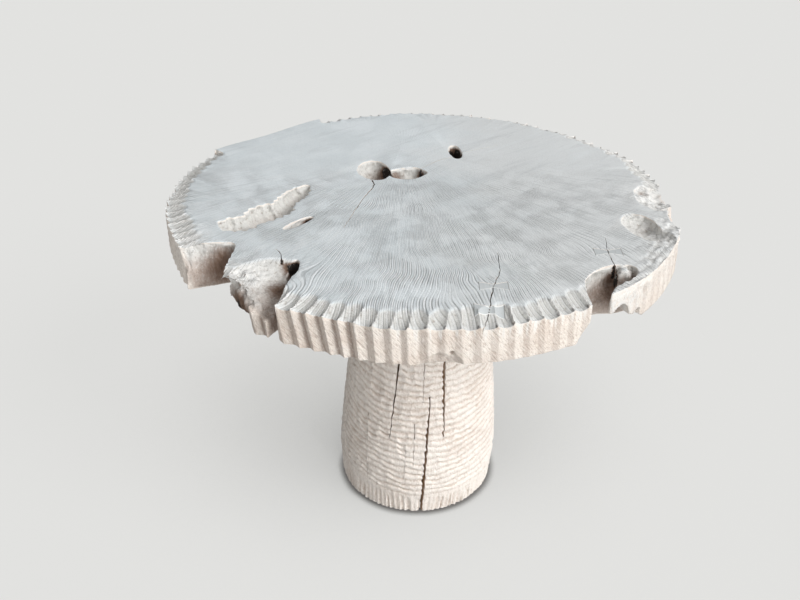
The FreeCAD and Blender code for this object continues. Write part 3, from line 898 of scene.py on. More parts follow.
roughen(trunk, "side", "trunk_wear", 0.022, 0.0030)
roughen(trunk, "side", "trunk_grit", 0.006, 0.0026)
# Painted shade under each row's lip and in the foot's grooves.
put_attribute(trunk, "crevice_shade", np.where(in_foot, 0.35 * foot_groove, STEP_CREVICE_SHADE[step]))
print("trunk", len(trunk.data.polygons), "faces in", ROW_COUNT, "rows")

# %% [markdown]
# ## Splits in the trunk
#
# The trunk also split as it dried. The splits run upright and are cut with the same ragged wedge, now
# pointing at the middle of the trunk.

# %% Splits
SPLITS = {
    # name: (bearing and height at its lower end, the same at its upper end, both widths, depth)
    "split_left": ((247, 0.200), (253, 0.580), 0.0022, 0.0110, 0.045),
    "split_right": ((287.2, 0.220), (285.4, 0.600), 0.0045, 0.0170, 0.020),
    "split_front": ((272, -0.030), (276, 0.330), 0.0130, 0.0055, 0.022),
    "split_thin": ((271, 0.305), (271, 0.500), 0.0014, 0.0032, 0.012),
    "split_far_left": ((231, 0.050), (227, 0.260), 0.0018, 0.0030, 0.012),
    "split_short": ((265.6, 0.140), (265.6, 0.262), 0.0014, 0.0028, 0.010),
    "split_low": ((259.5, 0.090), (259.5, 0.190), 0.0014, 0.0022, 0.008),
    "split_back": ((96, -0.030), (91, 0.420), 0.0070, 0.0020, 0.040),
    "split_back_left": ((158, 0.180), (155, 0.560), 0.0018, 0.0060, 0.040),
    "split_back_right": ((33, 0.090), (36, 0.480), 0.0015, 0.0050, 0.035),
}


def trunk_split(name, low_end, high_end, low_width, high_width, depth):
    """A crack cutter that runs up the trunk."""
    count = max(8, round((high_end[1] - low_end[1]) / CRACK_STEP))
    share = np.linspace(0, 1, count)
    height = low_end[1] + (high_end[1] - low_end[1]) * share
    angle = np.radians(low_end[0] + (high_end[0] - low_end[0]) * share)
    reach = trunk_radius(np.maximum(height, 0)) - 0.5 * ROW_LEDGE
    inward = -np.column_stack([np.cos(angle), np.sin(angle), np.zeros(count)])
    middle = np.column_stack([trunk_lean(height), np.zeros(count), height])
    widths = low_width + (high_width - low_width) * share
    return crack_cutter(name, middle - inward * reach[:, None], inward, widths, depth)


for name, form in SPLITS.items():
    cut_out(trunk, trunk_split(name, *form))
print("trunk", len(trunk.data.polygons), "faces after", len(SPLITS), "splits")

# %% [markdown]
# ## What the finish needs to know
#
# The white wash lies in patches, and the relief lays it paler on ridges and darker in valleys, as painted
# highlight and painted shade. The top has greyed, and the hollows are brown, partly heartwood and partly
# painted shade; cracks, crevices and the flute walls away from the light get painted shade too. Each of
# these is measured on the mesh once, and stored as a number for each vertex.

# %% Surface measures
SMOOTH_ANGLE = 42
# Spots of brown heartwood, and spots of painted shade in the hollows, the bites and on the lobe's outer face.
SHADE_AND_HEARTWOOD_SPOTS = [
    # x, y, z, reach, strength
    (-0.372, -0.262, 0.725, 0.045, 0.75),
    (-0.400, -0.265, 0.700, 0.050, 0.45),
    (-0.236, -0.321, 0.742, 0.024, 1.6),
    (-0.240, -0.375, 0.725, 0.026, 0.6),
    (-0.268, -0.378, 0.718, 0.022, 0.8),
    (-0.262, -0.440, 0.695, 0.040, 0.5),
    (-0.330, -0.400, 0.695, 0.045, 0.8),
    (-0.352, -0.398, 0.715, 0.026, 0.7),
    (0.340, -0.365, 0.715, 0.032, 0.55),
    (0.366, -0.345, 0.730, 0.014, 0.8),
    (0.375, -0.355, 0.705, 0.030, 0.5),
    (0.390, -0.356, 0.735, 0.030, 0.5),
    (0.412, -0.362, 0.730, 0.018, 0.7),
    (-0.064, 0.152, 0.738, 0.026, 1.5),
    (-0.070, 0.120, 0.715, 0.040, 1.2),
    (0.010, 0.126, 0.747, 0.013, 1.4),
    (0.098, 0.262, 0.742, 0.024, 1.4),
    (0.098, 0.240, 0.725, 0.040, 1.0),
    (0.474, -0.150, 0.745, 0.030, 0.28),
    (-0.222, -0.130, 0.748, 0.018, 1.4),
    (-0.252, 0.004, 0.744, 0.026, 0.4),
    (0.500, 0.012, 0.750, 0.016, 0.6),
]
BLEACHED_SPOTS = [
    (0.515, -0.265, 0.755, 0.055, 0.6),
    (0.520, -0.165, 0.755, 0.045, 0.9),
    (0.425, -0.165, 0.750, 0.028, 0.8),
    (0.470, -0.335, 0.755, 0.050, 0.5),
    (0.400, -0.410, 0.740, 0.055, 0.8),
    (0.355, -0.445, 0.725, 0.045, 0.9),
    (0.520, -0.015, 0.752, 0.065, 0.9),
    (-0.455, -0.220, 0.755, 0.045, 0.7),
    (-0.326, -0.352, 0.740, 0.050, 0.6),
    (-0.115, 0.150, 0.740, 0.026, 0.8),
]


def relief_of(piece):
    """How much each vertex stands out from its neighbours: above 0 on ridges, below 0 in valleys."""
    points = points_of(piece)
    first, last = edge_ends(piece)
    away = points[last] - points[first]
    length = np.linalg.norm(away, axis=1)
    total = np.column_stack([
        np.bincount(first, away[:, axis], len(points)) - np.bincount(last, away[:, axis], len(points))
        for axis in range(3)
    ])
    scale = np.bincount(first, length, len(points)) + np.bincount(last, length, len(points))
    return -(total * normals_of(piece)).sum(axis=1) / np.maximum(scale, 1e-6)


points = points_of(slab)
bearing, distance = polar(points)
inset = rim_radius(bearing) - distance
depth = TOP - points[:, 2]
_, across = flute_place(points)
put_attribute(slab, "inset", inset)
put_attribute(slab, "valley", flute_hollow(points) / FLUTE_DEPTH)
# The wall of each flute that faces away from the light, kept for painted shade on it.
put_attribute(slab, "flute_shade_wall", ease(FLUTE_VALLEY - 0.1, FLUTE_VALLEY + 0.1, across))
put_attribute(slab, "sideways", np.clip(stroke_surface(points)[1], -1, 1))
# Painted shade: the walls of each crack are darkened.
crack_shade = np.zeros(len(points))
under = np.minimum(stroke_surface(points)[0], TOP) - points[:, 2]
for plan, _, _, crack_depth in CRACKS.values():
    inside = (crack_gap(points, plan) < 0.003) & (depth < crack_depth + 0.001) & (inset > 0.006)
    crack_shade = np.maximum(crack_shade, inside * ease(0.001, 0.003, under))
heartwood_and_shade = np.clip(spotted(points, SHADE_AND_HEARTWOOD_SPOTS), 0, 1.4) * ease(0.002, 0.010, depth)
put_attribute(slab, "heartwood_and_shade", np.maximum(heartwood_and_shade, 1.3 * crack_shade))
put_attribute(slab, "bleached", np.clip(spotted(points, BLEACHED_SPOTS), 0, 1))
trunk_points = points_of(trunk)
axis_distance = np.hypot(trunk_points[:, 0] - trunk_lean(trunk_points[:, 2]), trunk_points[:, 1])
put_attribute(trunk, "inner", ease(0.007, 0.022, trunk_radius(trunk_points[:, 2]) - axis_distance))
for piece in (slab, trunk):
    put_attribute(piece, "relief", relief_of(piece))
for piece in [slab, trunk, *key_pieces.values()]:
    pick(piece)
    bpy.ops.object.shade_smooth_by_angle(angle=math.radians(SMOOTH_ANGLE))
print("relief of the slab", float(relief_of(slab).min()), float(relief_of(slab).max()))

# %% [markdown]
# ## Node helpers and shared finishes
#
# Three effects are node groups, of which two serve more than one wood: growth lines that run out from the
# heart of the tree, with painted shade in each groove and a painted highlight on each ridge; fine fibres
# with a direction; and a white wash in patches, which the relief lays paler on ridges and darker in
# valleys as painted highlight and shade.

# %% Node helpers
def tone(red, green, blue):
    """A colour as a colour picker shows it, changed to the linear values that nodes use."""
    return tuple(((c / 255 + 0.055) / 1.055) ** 2.4 for c in (red, green, blue)) + (1.0,)


def place(tree, kind, **values):
    """A node with some inputs and settings given by name."""
    node = tree.nodes.new(kind)
    for name, value in values.items():
        if name in node.inputs:
            node.inputs[name].default_value = value
        else:
            setattr(node, name, value)
    return node


def maths(tree, operation, first, second=0.5):
    """A Math node on two sockets or numbers, and its result."""
    node = place(tree, "ShaderNodeMath", operation=operation)
    for socket, source in zip(node.inputs, (first, second)):
        if isinstance(source, (int, float)):
            socket.default_value = source
        else:
            tree.links.new(source, socket)
    return node.outputs[0]


def product(tree, first, second):
    """The product of two sockets or numbers."""
    return maths(tree, "MULTIPLY", first, second)


def summed(tree, first, second):
    """The sum of two sockets or numbers."""
    return maths(tree, "ADD", first, second)


def blend(tree, share, first, second):
    """A colour mix of two sockets or colours, and its result."""
    node = place(tree, "ShaderNodeMix", data_type="RGBA", clamp_factor=True)
    for socket, source in zip((node.inputs[0], node.inputs[6], node.inputs[7]), (share, first, second)):
        if isinstance(source, (int, float, tuple)):
            socket.default_value = source
        else:
            tree.links.new(source, socket)
    return node.outputs[2]


def span(tree, value, low, high, to_low=0.0, to_high=1.0):
    """A value mapped from one range to another, smoothly and with limits."""
    node = place(tree, "ShaderNodeMapRange", interpolation_type="SMOOTHSTEP")
    tree.links.new(value, node.inputs[0])
    for socket, number in zip(node.inputs[1:5], (low, high, to_low, to_high)):
        socket.default_value = number
    return node.outputs[0]


def noise(tree, vector, scale, detail=2.0, roughness=0.5, distortion=0.0):
    """A Noise Texture and its value."""
    node = place(tree, "ShaderNodeTexNoise", Scale=scale, Detail=detail, Roughness=roughness,
                 Distortion=distortion)
    tree.links.new(vector, node.inputs["Vector"])
    return node.outputs[0]


def stretch(tree, vector, scale):
    """Coordinates multiplied along each axis."""
    node = place(tree, "ShaderNodeVectorMath", operation="MULTIPLY")
    node.inputs[1].default_value = scale
    tree.links.new(vector, node.inputs[0])
    return node.outputs[0]


def turned(tree, vector, axis, degrees):
    """Coordinates turned about an axis."""
    node = place(tree, "ShaderNodeVectorRotate", Axis=axis, Angle=math.radians(degrees))
    tree.links.new(vector, node.inputs["Vector"])
    return node.outputs[0]


def effect(name, inputs, outputs):
    """An empty node group with named inputs and outputs."""
    group = bpy.data.node_groups.new(name, "ShaderNodeTree")
    for direction, sockets in (("INPUT", inputs), ("OUTPUT", outputs)):
        for socket, kind in sockets.items():
            group.interface.new_socket(socket, in_out=direction, socket_type=f"NodeSocket{kind}")
    return group, group.nodes.new("NodeGroupInput").outputs, group.nodes.new("NodeGroupOutput").inputs


# %% Growth lines
growth, given, made = effect("growth_lines", {"Vector": "Vector", "Heart": "Vector", "Waver": "Float"},
                             {"Ridge": "Float", "Groove": "Float", "Ray": "Float"})
from_heart = place(growth, "ShaderNodeVectorMath", operation="SUBTRACT")
growth.links.new(given["Vector"], from_heart.inputs[0])
growth.links.new(given["Heart"], from_heart.inputs[1])
flat = stretch(growth, from_heart.outputs[0], (1, 1, 0))
heading = place(growth, "ShaderNodeVectorMath", operation="NORMALIZE")
growth.links.new(flat, heading.inputs[0])
reach_node = place(growth, "ShaderNodeVectorMath", operation="LENGTH")
growth.links.new(flat, reach_node.inputs[0])
reach = reach_node.outputs["Value"]
waver = product(growth, noise(growth, flat, 4.6, 1.5, 0.4, 0.4), given["Waver"])
rays = place(growth, "ShaderNodeVectorMath", operation="ADD")
growth.links.new(stretch(growth, heading.outputs[0], (80.0, 80.0, 0)), rays.inputs[0])
growth.links.new(stretch(growth, flat, (12.0, 12.0, 0)), rays.inputs[1])
growth.links.new(noise(growth, rays.outputs[0], 1.0, 3.0, 0.6, 0.6), made["Ray"])
sides = place(growth, "ShaderNodeSeparateXYZ")
growth.links.new(flat, sides.inputs[0])
turns = maths(growth, "DIVIDE", maths(growth, "ARCTAN2", sides.outputs["Y"], sides.outputs["X"]), 2 * math.pi)
phase = summed(growth, product(growth, turns, 120.0), waver)
for socket, shift, width in (("Groove", 0.0, 0.14), ("Ridge", 0.26, 0.24)):
    line = maths(growth, "PINGPONG", summed(growth, phase, shift), 0.5)
    for times, start in ((2.0, 0.14), (4.0, 0.30)):
        finer = maths(growth, "PINGPONG", summed(growth, product(growth, phase, times), shift), 0.5)
        share = span(growth, reach, start, start + 0.06)
        coarse = product(growth, line, maths(growth, "SUBTRACT", 1.0, share))
        line = summed(growth, coarse, product(growth, finer, share))
    growth.links.new(span(growth, line, width, 0.25 * width), made[socket])

# %% Fibres
fibres, given, made = effect("fibres", {"Vector": "Vector", "Along": "Vector"},
                             {"Streak": "Float", "Pore": "Float"})
drawn = place(fibres, "ShaderNodeVectorMath", operation="MULTIPLY")
fibres.links.new(given["Vector"], drawn.inputs[0])
fibres.links.new(given["Along"], drawn.inputs[1])
fibres.links.new(noise(fibres, drawn.outputs[0], 1.0, 4.0, 0.6, 0.2), made["Streak"])
fibres.links.new(span(fibres, noise(fibres, drawn.outputs[0], 3.1, 2.0, 0.5), 0.60, 0.72), made["Pore"])

# %% White wash, with painted highlight and shade from the relief
wash_and_relief_light, given, made = effect("white_wash_and_relief_light", {
    "Vector": "Vector", "Wood": "Color", "Wash": "Color", "Relief": "Float", "Amount": "Float",
}, {"Color": "Color"})
patches = noise(wash_and_relief_light, given["Vector"], 9.0, 5.0, 0.6, 0.4)
# Painted highlight and shade: the relief lays the wash paler on ridges and darker in valleys.
patches_and_relief_light = summed(wash_and_relief_light, patches, product(wash_and_relief_light, given["Relief"], 0.8))
cover = span(wash_and_relief_light, summed(wash_and_relief_light, patches_and_relief_light, maths(wash_and_relief_light, "SUBTRACT", given["Amount"], 0.5)), 0.30, 0.72)
wash_and_relief_light.links.new(blend(wash_and_relief_light, cover, given["Wood"], given["Wash"]), made["Color"])
print("node groups", [group.name for group in bpy.data.node_groups])

# %% [markdown]
# ## The woods
#
# The slab is end grain, cool and grey on the flat top, cream on its carved rim and brown in its hollows,
# where the brown is partly heartwood and partly painted shade. The trunk is side grain, cream, with brown
# painted shade in the crevices. The keys are a closer, slightly warmer wood.

# %% Material helpers
def new_material(name):
    """A material with its Principled shader."""
    material = bpy.data.materials.new(name)
    material.use_nodes = True
    return material, material.node_tree, material.node_tree.nodes["Principled BSDF"]


def read(tree, name):
    """The value of a mesh attribute."""
    return place(tree, "ShaderNodeAttribute", attribute_name=name).outputs["Fac"]


def part_of(tree, vector, axis):
    """One coordinate of a vector."""
    node = place(tree, "ShaderNodeSeparateXYZ")
    tree.links.new(vector, node.inputs[0])
    return node.outputs[axis]


def use(tree, group, **values):
    """A node group placed in a material."""
    node = place(tree, "ShaderNodeGroup", node_tree=group)
    for name, value in values.items():
        if isinstance(value, (int, float, tuple)):
            node.inputs[name].default_value = value
        else:
            tree.links.new(value, node.inputs[name])
    return node.outputs


def raise_surface(tree, shader, height, distance):
    """A bump from a height, in metres."""
    bump = place(tree, "ShaderNodeBump", Strength=1.0, Distance=distance)
    tree.links.new(height, bump.inputs["Height"])
    tree.links.new(bump.outputs[0], shader.inputs["Normal"])


# %% Slab wood
HEART = (-0.020, 0.230, 0.0)

slab_wood, tree, shader = new_material("bleached_slab_wood")
where = place(tree, "ShaderNodeTexCoord").outputs["Object"]
normal = place(tree, "ShaderNodeTexCoord").outputs["Normal"]
inset, valley, flute_shade_wall, relief = (read(tree, name) for name in ("inset", "valley", "flute_shade_wall", "relief"))
sideways, brown_and_shade, bleached = (read(tree, name) for name in ("sideways", "heartwood_and_shade", "bleached"))
height = part_of(tree, where, "Z")
depth = maths(tree, "SUBTRACT", TOP, height)
facing_up = span(tree, part_of(tree, normal, "Z"), 0.3, 0.9)
off_top = span(tree, depth, 0.0003, 0.0012)
relief = product(tree, product(tree, relief, off_top), span(tree, depth, 0.045, 0.015, 0.2, 1.0))
greyed = product(tree, facing_up, span(tree, depth, 0.012, 0.0015))
stroke = product(tree, span(tree, depth, 0.0004, 0.004), span(tree, depth, 0.026, 0.019))
stroke = product(tree, stroke, span(tree, inset, 0.08, 0.06))
fresh = product(tree, facing_up, stroke)
torn = product(tree, span(tree, inset, 0.006, 0.016), span(tree, depth, 0.0015, 0.006))
torn = product(tree, torn, span(tree, height, UNDERSIDE + 0.001, UNDERSIDE + 0.004))
on_rim = product(tree, span(tree, inset, 0.016, 0.010), span(tree, depth, 0.010, 0.016))

# %% Slab wood colours
lines = use(tree, growth, Vector=where, Heart=HEART, Waver=4.0)
grain = use(tree, fibres, Vector=where, Along=(240.0, 240.0, 40.0))
speckle = noise(tree, where, 430.0, 2.0, 0.7)
crumbs = noise(tree, where, 130.0, 3.0, 0.7)
patches = noise(tree, where, 5.5, 3.0, 0.6)
drawn = stretch(tree, turned(tree, where, (0, 0, 1), -42), (5.0, 40.0, 5.0))
streaks = noise(tree, drawn, 1.0, 3.0, 0.6, 0.8)
hatch = noise(tree, stretch(tree, turned(tree, where, (0, 1, 0), 40), (330.0, 330.0, 60.0)), 1.0, 3.0, 0.6)
level = maths(tree, "MAXIMUM", greyed, fresh)
front = span(tree, part_of(tree, where, "Y"), 0.24, 0.0, 0.15, 1.0)
strength = product(tree, span(tree, patches, 0.30, 0.62, 0.40, 1.0), product(tree, greyed, front))
strength = product(tree, strength, span(tree, noise(tree, where, 17.0, 2.0, 0.5), 0.38, 0.6, 0.2, 1.0))
strength = maths(tree, "MAXIMUM", strength, product(tree, fresh, 0.5))
ridge_highlight_line = product(tree, lines["Ridge"], strength)
groove_shade_line = product(tree, lines["Groove"], strength)
ray = product(tree, maths(tree, "SUBTRACT", lines["Ray"], 0.5), product(tree, level, front))
pale = use(tree, wash_and_relief_light, Vector=where, Wood=tone(219, 205, 193), Wash=tone(236, 228, 219),
           Relief=relief, Amount=0.55)
grey = use(tree, wash_and_relief_light, Vector=where, Wood=tone(208, 215, 218), Wash=tone(221, 227, 230),
           Relief=relief, Amount=0.45)
warm = summed(tree, part_of(tree, where, "X"), product(tree, noise(tree, where, 6.0, 3.0, 0.6, 0.5), 0.5))
grey_top = blend(tree, span(tree, warm, 0.15, 0.5, 0.0, 0.8), grey["Color"], tone(215, 217, 217))
grey_top = blend(tree, span(tree, streaks, 0.5, 0.7, 0.0, 0.35), grey_top, tone(223, 228, 230))
grey_top = blend(tree, span(tree, streaks, 0.46, 0.3, 0.0, 0.25), grey_top, tone(180, 185, 187))
# Painted shade: the flute walls that face away from the light are darkened.
flute_wall_shade = product(tree, product(tree, flute_shade_wall, on_rim), 0.35)
colour = blend(tree, flute_wall_shade, pale["Color"], tone(182, 165, 154))
# Painted shade in the deepest part of each flute.
flute_valley_shade = product(tree, span(tree, valley, 0.62, 1.0, 0.0, 0.7), on_rim)
colour = blend(tree, flute_valley_shade, colour, tone(138, 118, 106))
hatched = product(tree, span(tree, hatch, 0.47, 0.34, 0.0, 0.45), on_rim)
colour = blend(tree, hatched, colour, tone(172, 150, 136))
chalked = product(tree, span(tree, hatch, 0.54, 0.66, 0.0, 0.4), on_rim)
colour = blend(tree, chalked, colour, tone(246, 240, 232))
colour = blend(tree, greyed, colour, grey_top)
# Painted light and shade across each gouge stroke: pale on one side, grey on the other, and a painted dark
# shadow along one edge.
stroke_light_and_shade = blend(tree, span(tree, sideways, -0.5, 0.5), tone(190, 190, 188), tone(228, 229, 227))
stroke_light_and_shade = blend(tree, span(tree, sideways, -0.60, -0.92, 0.0, 0.85), stroke_light_and_shade, tone(92, 88, 84))
colour = blend(tree, fresh, colour, stroke_light_and_shade)
# Torn wood, darker with depth: partly its own tone, partly painted shade deep in the bites and hollows.
torn_wood_and_depth_shade = blend(tree, span(tree, depth, 0.015, 0.060), tone(206, 205, 201), tone(190, 175, 165))
colour = blend(tree, torn, colour, torn_wood_and_depth_shade)
crumbled = product(tree, span(tree, crumbs, 0.44, 0.30, 0.0, 0.6), torn)
colour = blend(tree, crumbled, colour, tone(146, 132, 120))
frayed = product(tree, span(tree, crumbs, 0.56, 0.70, 0.0, 0.4), torn)
colour = blend(tree, frayed, colour, tone(236, 234, 231))
whitened = product(tree, bleached, span(tree, crumbs, 0.36, 0.56, 0.25, 0.9))
colour = blend(tree, whitened, colour, blend(tree, facing_up, tone(228, 226, 222), tone(242, 241, 239)))
# The growth lines are grain; each is drawn with painted shade in its groove and a painted highlight on its
# ridge.
colour = blend(tree, product(tree, groove_shade_line, 0.62), colour, tone(136, 137, 136))
colour = blend(tree, product(tree, ridge_highlight_line, 0.62), colour, tone(236, 238, 238))
colour = blend(tree, span(tree, ray, 0.0, 0.20, 0.0, 0.35), colour, tone(230, 232, 232))
colour = blend(tree, span(tree, ray, 0.0, -0.20, 0.0, 0.28), colour, tone(156, 159, 159))
colour = blend(tree, span(tree, speckle, 0.58, 0.74, 0.0, 0.45), colour, tone(240, 240, 239))
colour = blend(tree, span(tree, speckle, 0.42, 0.28, 0.0, 0.40), colour, tone(140, 136, 132))
# Brown heartwood and painted shade, down to nearly black in the deepest holes and in the cracks.
brown_and_shade_level = summed(tree, brown_and_shade, product(tree, maths(tree, "SUBTRACT", grain["Streak"], 0.5), 0.6))
colour = blend(tree, span(tree, brown_and_shade_level, 0.1, 0.95), colour, tone(118, 96, 82))
colour = blend(tree, span(tree, brown_and_shade_level, 0.9, 1.2), colour, tone(38, 32, 28))
# Painted shade in valleys and a painted highlight on ridges, from the mesh relief.
colour = blend(tree, span(tree, relief, -0.10, -0.45, 0.0, 0.85), colour, tone(112, 98, 86))
colour = blend(tree, span(tree, relief, 0.05, 0.35, 0.0, 0.55), colour, tone(236, 233, 229))
tree.links.new(colour, shader.inputs["Base Color"])
tree.links.new(span(tree, grain["Streak"], 0.2, 0.8, 0.72, 0.9), shader.inputs["Roughness"])
shader.inputs["Specular IOR Level"].default_value = 0.25
bumps = summed(tree, product(tree, grain["Streak"], 0.4), product(tree, ridge_highlight_line, 0.5))
bumps = maths(tree, "SUBTRACT", bumps, product(tree, groove_shade_line, 0.5))
bumps = summed(tree, bumps, product(tree, maths(tree, "MAXIMUM", torn, bleached), crumbs))
bumps = summed(tree, bumps, product(tree, speckle, 0.25))
bumps = summed(tree, bumps, product(tree, hatch, on_rim))
raise_surface(tree, shader, bumps, 0.0022)

# %% Trunk wood
trunk_wood, tree, shader = new_material("bleached_trunk_wood")
where = place(tree, "ShaderNodeTexCoord").outputs["Object"]
crevice_shade, relief, inner = (read(tree, name) for name in ("crevice_shade", "relief", "inner"))
grain = use(tree, fibres, Vector=where, Along=(230.0, 230.0, 110.0))
pale = use(tree, wash_and_relief_light, Vector=where, Wood=tone(217, 205, 195), Wash=tone(236, 229, 222),
           Relief=relief, Amount=0.6)
colour = blend(tree, span(tree, grain["Streak"], 0.52, 0.75, 0.0, 0.45), pale["Color"], tone(186, 168, 154))
# Painted shade in the crevices under each row, together with the brown fibre streaks.
brown_and_shade = span(tree, summed(tree, crevice_shade, product(tree, grain["Streak"], 0.8)), 0.6, 1.5, 0.0, 0.45)
colour = blend(tree, brown_and_shade, colour, tone(170, 148, 130))
grit = noise(tree, where, 260.0, 3.0, 0.7)
colour = blend(tree, span(tree, grit, 0.56, 0.70, 0.0, 0.5), colour, tone(240, 234, 228))
colour = blend(tree, span(tree, grit, 0.44, 0.30, 0.0, 0.45), colour, tone(168, 148, 132))
# Painted shade in valleys and a painted highlight on ridges, from the mesh relief.
colour = blend(tree, span(tree, relief, -0.15, -0.5, 0.0, 0.3), colour, tone(128, 108, 92))
colour = blend(tree, span(tree, relief, 0.06, 0.4, 0.0, 0.5), colour, tone(236, 229, 222))
colour = blend(tree, span(tree, inner, 0.02, 0.22, 0.0, 0.9), colour, tone(186, 156, 128))
# Painted shade: the deepest part of each split is nearly black.
colour = blend(tree, span(tree, inner, 0.75, 1.0), colour, tone(58, 46, 38))
tree.links.new(colour, shader.inputs["Base Color"])
tree.links.new(span(tree, grain["Streak"], 0.2, 0.8, 0.74, 0.92), shader.inputs["Roughness"])
shader.inputs["Specular IOR Level"].default_value = 0.25
raise_surface(tree, shader, grain["Streak"], 0.0022)

# %% Key wood and dowel wood
def plain_wood(name, along, wood_tone, wash_tone, amount, filler_tone=None):
    """A planed wood with fibres one way, and a line of filler along its sides if that has a tone."""
    material, tree, shader = new_material(name)
    where = place(tree, "ShaderNodeTexCoord").outputs["Object"]
    grain = use(tree, fibres, Vector=where, Along=along)
    faded = use(tree, wash_and_relief_light, Vector=where, Wood=wood_tone, Wash=wash_tone, Relief=0.0, Amount=amount)
    colour = blend(tree, span(tree, grain["Streak"], 0.45, 0.75, 0.0, 0.4), faded["Color"], wood_tone)
    colour = blend(tree, product(tree, grain["Pore"], 0.35), colour, tone(120, 112, 104))
    if filler_tone:
        for measure, limits, line_tone in (
            ("from_side", (0.0024, 0.0012, 0.0, 0.85), filler_tone),
            ("from_end", (0.0014, 0.0006, 0.0, 0.7), tone(96, 92, 88)),
            ("from_crack", (0.0018, 0.0008, 0.0, 0.9), tone(64, 58, 52)),
        ):
            colour = blend(tree, span(tree, read(tree, measure), *limits), colour, line_tone)
    tree.links.new(colour, shader.inputs["Base Color"])
    tree.links.new(span(tree, grain["Streak"], 0.2, 0.8, 0.66, 0.85), shader.inputs["Roughness"])
    shader.inputs["Specular IOR Level"].default_value = 0.3
    raise_surface(tree, shader, grain["Streak"], 0.0005)
    return material


key_wood = plain_wood("bleached_key_wood", (260.0, 22.0, 260.0), tone(186, 190, 191),
                      tone(205, 209, 210), 0.5, tone(240, 240, 238))
dowel_wood = plain_wood("turned_dowel_wood", (300.0, 300.0, 20.0), tone(180, 146, 106),
                        tone(206, 176, 136), 0.4)
print("woods", [material.name for material in (slab_wood, trunk_wood, key_wood, dowel_wood)])

# %% [markdown]
# ## Hand the pieces to the frame
#
# Each carved piece takes the place of its CAD node and rides on the one body. The dowels are right as
# they are, plain round bars, so they stay and only get their wood.

# %% Finish each piece
replaced = {
    "tabletop_slab": (slab, slab_wood, "slab_wood"),
    "trunk_pedestal": (trunk, trunk_wood, "trunk_wood"),
}
for name, key in key_pieces.items():
    replaced[name] = (key, key_wood, "key_wood")
for node, (piece, material, slot) in replaced.items():
    piece.data.materials.clear()
    piece.data.materials.append(material)
    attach(piece, "root")
    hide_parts(node)
for node in ("dowel_back", "dowel_left", "dowel_front"):
    bpy.data.objects[node].material_slots[0].material = dowel_wood
print("pieces", {node: len(piece.data.polygons) for node, (piece, _, _) in replaced.items()})

# %% [markdown]
# ## Floor and light
#
# The table stands on a pale floor without an end. A wide soft sun from the front right, a weak low one
# from the front that reaches under the slab, and a sky that is a little brighter on the right together
# give a level surface about the light at which a colour shows as it was written. The floor glows a
# little, so that it stays pale, and its shadow is measured by ambient occlusion toward a broad light in
# front of the table.

# %% Floor
FLOOR_HALF = 20.0
FLOOR_TONE = (226, 226, 224)
FLOOR_CONTACT = (96, 94, 92)
CONTACT_REACH = 0.035
CONTACT_SPAN = (0.85, 0.45)
FLOOR_LIT = (236, 236, 234)
FLOOR_GLOW = 0.90
FLOOR_SHADOW = (205, 205, 203)
DEEP_SHADOW = (180, 180, 178)
SHADOW_REACH = 1.6
SHADOW_SPAN = (0.86, 0.56)
DEEP_SPAN = (0.53, 0.40)
SHADOW_RAYS = 16
SHADOW_LIGHT = (0.17, -0.57, 0.80)
FLOOR_BOUNCE = (192, 192, 190)

bpy.ops.object.select_all(action="DESELECT")
bpy.ops.mesh.primitive_plane_add(size=2 * FLOOR_HALF)
floor = bpy.context.object
floor.name = "studio_floor"
floor_finish, tree, shader = new_material("studio_floor")
seen = place(tree, "ShaderNodeLightPath").outputs["Is Camera Ray"]
tree.links.new(blend(tree, seen, tone(*FLOOR_BOUNCE), tone(*FLOOR_LIT)), shader.inputs["Base Color"])
shader.inputs["Roughness"].default_value = 0.9
shader.inputs["Specular IOR Level"].default_value = 0.0
contact = place(tree, "ShaderNodeAmbientOcclusion", Distance=CONTACT_REACH, samples=SHADOW_RAYS)
closeness = contact.outputs["AO"]

softness = place(tree, "ShaderNodeAmbientOcclusion", Distance=SHADOW_REACH, samples=SHADOW_RAYS)
toward_light = place(tree, "ShaderNodeCombineXYZ", **dict(zip("XYZ", SHADOW_LIGHT)))
tree.links.new(toward_light.outputs[0], softness.inputs["Normal"])
open_share = softness.outputs["AO"]
shade = blend(tree, span(tree, open_share, *SHADOW_SPAN), tone(*FLOOR_TONE), tone(*FLOOR_SHADOW))
shade = blend(tree, span(tree, open_share, *DEEP_SPAN), shade, tone(*DEEP_SHADOW))
shade = blend(tree, span(tree, closeness, *CONTACT_SPAN), shade, tone(*FLOOR_CONTACT))
glow = place(tree, "ShaderNodeEmission", Strength=1.0)
tree.links.new(shade, glow.inputs["Color"])
share = product(tree, seen, FLOOR_GLOW)
either = place(tree, "ShaderNodeMixShader")
tree.links.new(share, either.inputs[0])
tree.links.new(shader.outputs[0], either.inputs[1])
tree.links.new(glow.outputs[0], either.inputs[2])
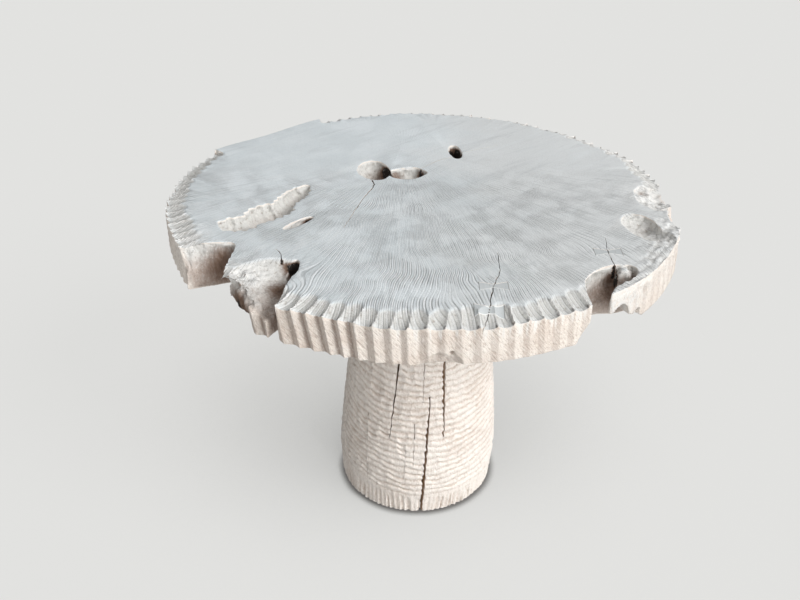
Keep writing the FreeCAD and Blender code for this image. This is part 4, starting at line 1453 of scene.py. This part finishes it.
tree.links.new(either.outputs[0], tree.nodes["Material Output"].inputs["Surface"])
floor.data.materials.append(floor_finish)

# %% Light
SUNS = {
    # name: (degrees right of the front, height, strength, spread)
    "wide_sun": (54, 35, 2.32, 28),
    "low_fill": (12, 6, 0.94, 50),
}
SKY_STRENGTH = 0.45
SKY_SLANT = 0.24

for name, (turn, height, strength, wide) in SUNS.items():
    sun_data = bpy.data.lights.new(name, "SUN")
    sun_data.energy = strength
    sun_data.angle = math.radians(wide)
    sun = bpy.data.objects.new(name, sun_data)
    level = math.cos(math.radians(height))
    sun.rotation_euler = Vector((
        level * math.sin(math.radians(turn)),
        -level * math.cos(math.radians(turn)),
        math.sin(math.radians(height)),
    )).to_track_quat("Z", "Y").to_euler()
    bpy.context.collection.objects.link(sun)

world = bpy.data.worlds.new("studio")
world.use_nodes = True
bpy.context.scene.world = world
tree = world.node_tree
sky = tree.nodes["Background"]
sky.inputs["Color"].default_value = (1, 1, 1, 1)
sky_side = place(tree, "ShaderNodeVectorMath", operation="DOT_PRODUCT")
sky_turn = math.radians(SUNS["wide_sun"][0])
tree.links.new(place(tree, "ShaderNodeTexCoord").outputs["Generated"], sky_side.inputs[0])
sky_side.inputs[1].default_value = (math.sin(sky_turn), -math.cos(sky_turn), 0)
slanted = product(tree, sky_side.outputs["Value"], SKY_SLANT)
tree.links.new(summed(tree, slanted, SKY_STRENGTH), sky.inputs["Strength"])
backdrop = place(tree, "ShaderNodeBackground", Color=tone(*FLOOR_TONE), Strength=1.0)
rays = place(tree, "ShaderNodeLightPath").outputs
mirrored = maths(tree, "MAXIMUM", rays["Is Glossy Ray"], rays["Is Transmission Ray"])
seen = maths(tree, "MAXIMUM", rays["Is Camera Ray"], mirrored)
either = place(tree, "ShaderNodeMixShader")
tree.links.new(seen, either.inputs[0])
tree.links.new(sky.outputs[0], either.inputs[1])
tree.links.new(backdrop.outputs[0], either.inputs[2])
tree.links.new(either.outputs[0], tree.nodes["World Output"].inputs[0])
bpy.context.scene.view_settings.view_transform = "Standard"
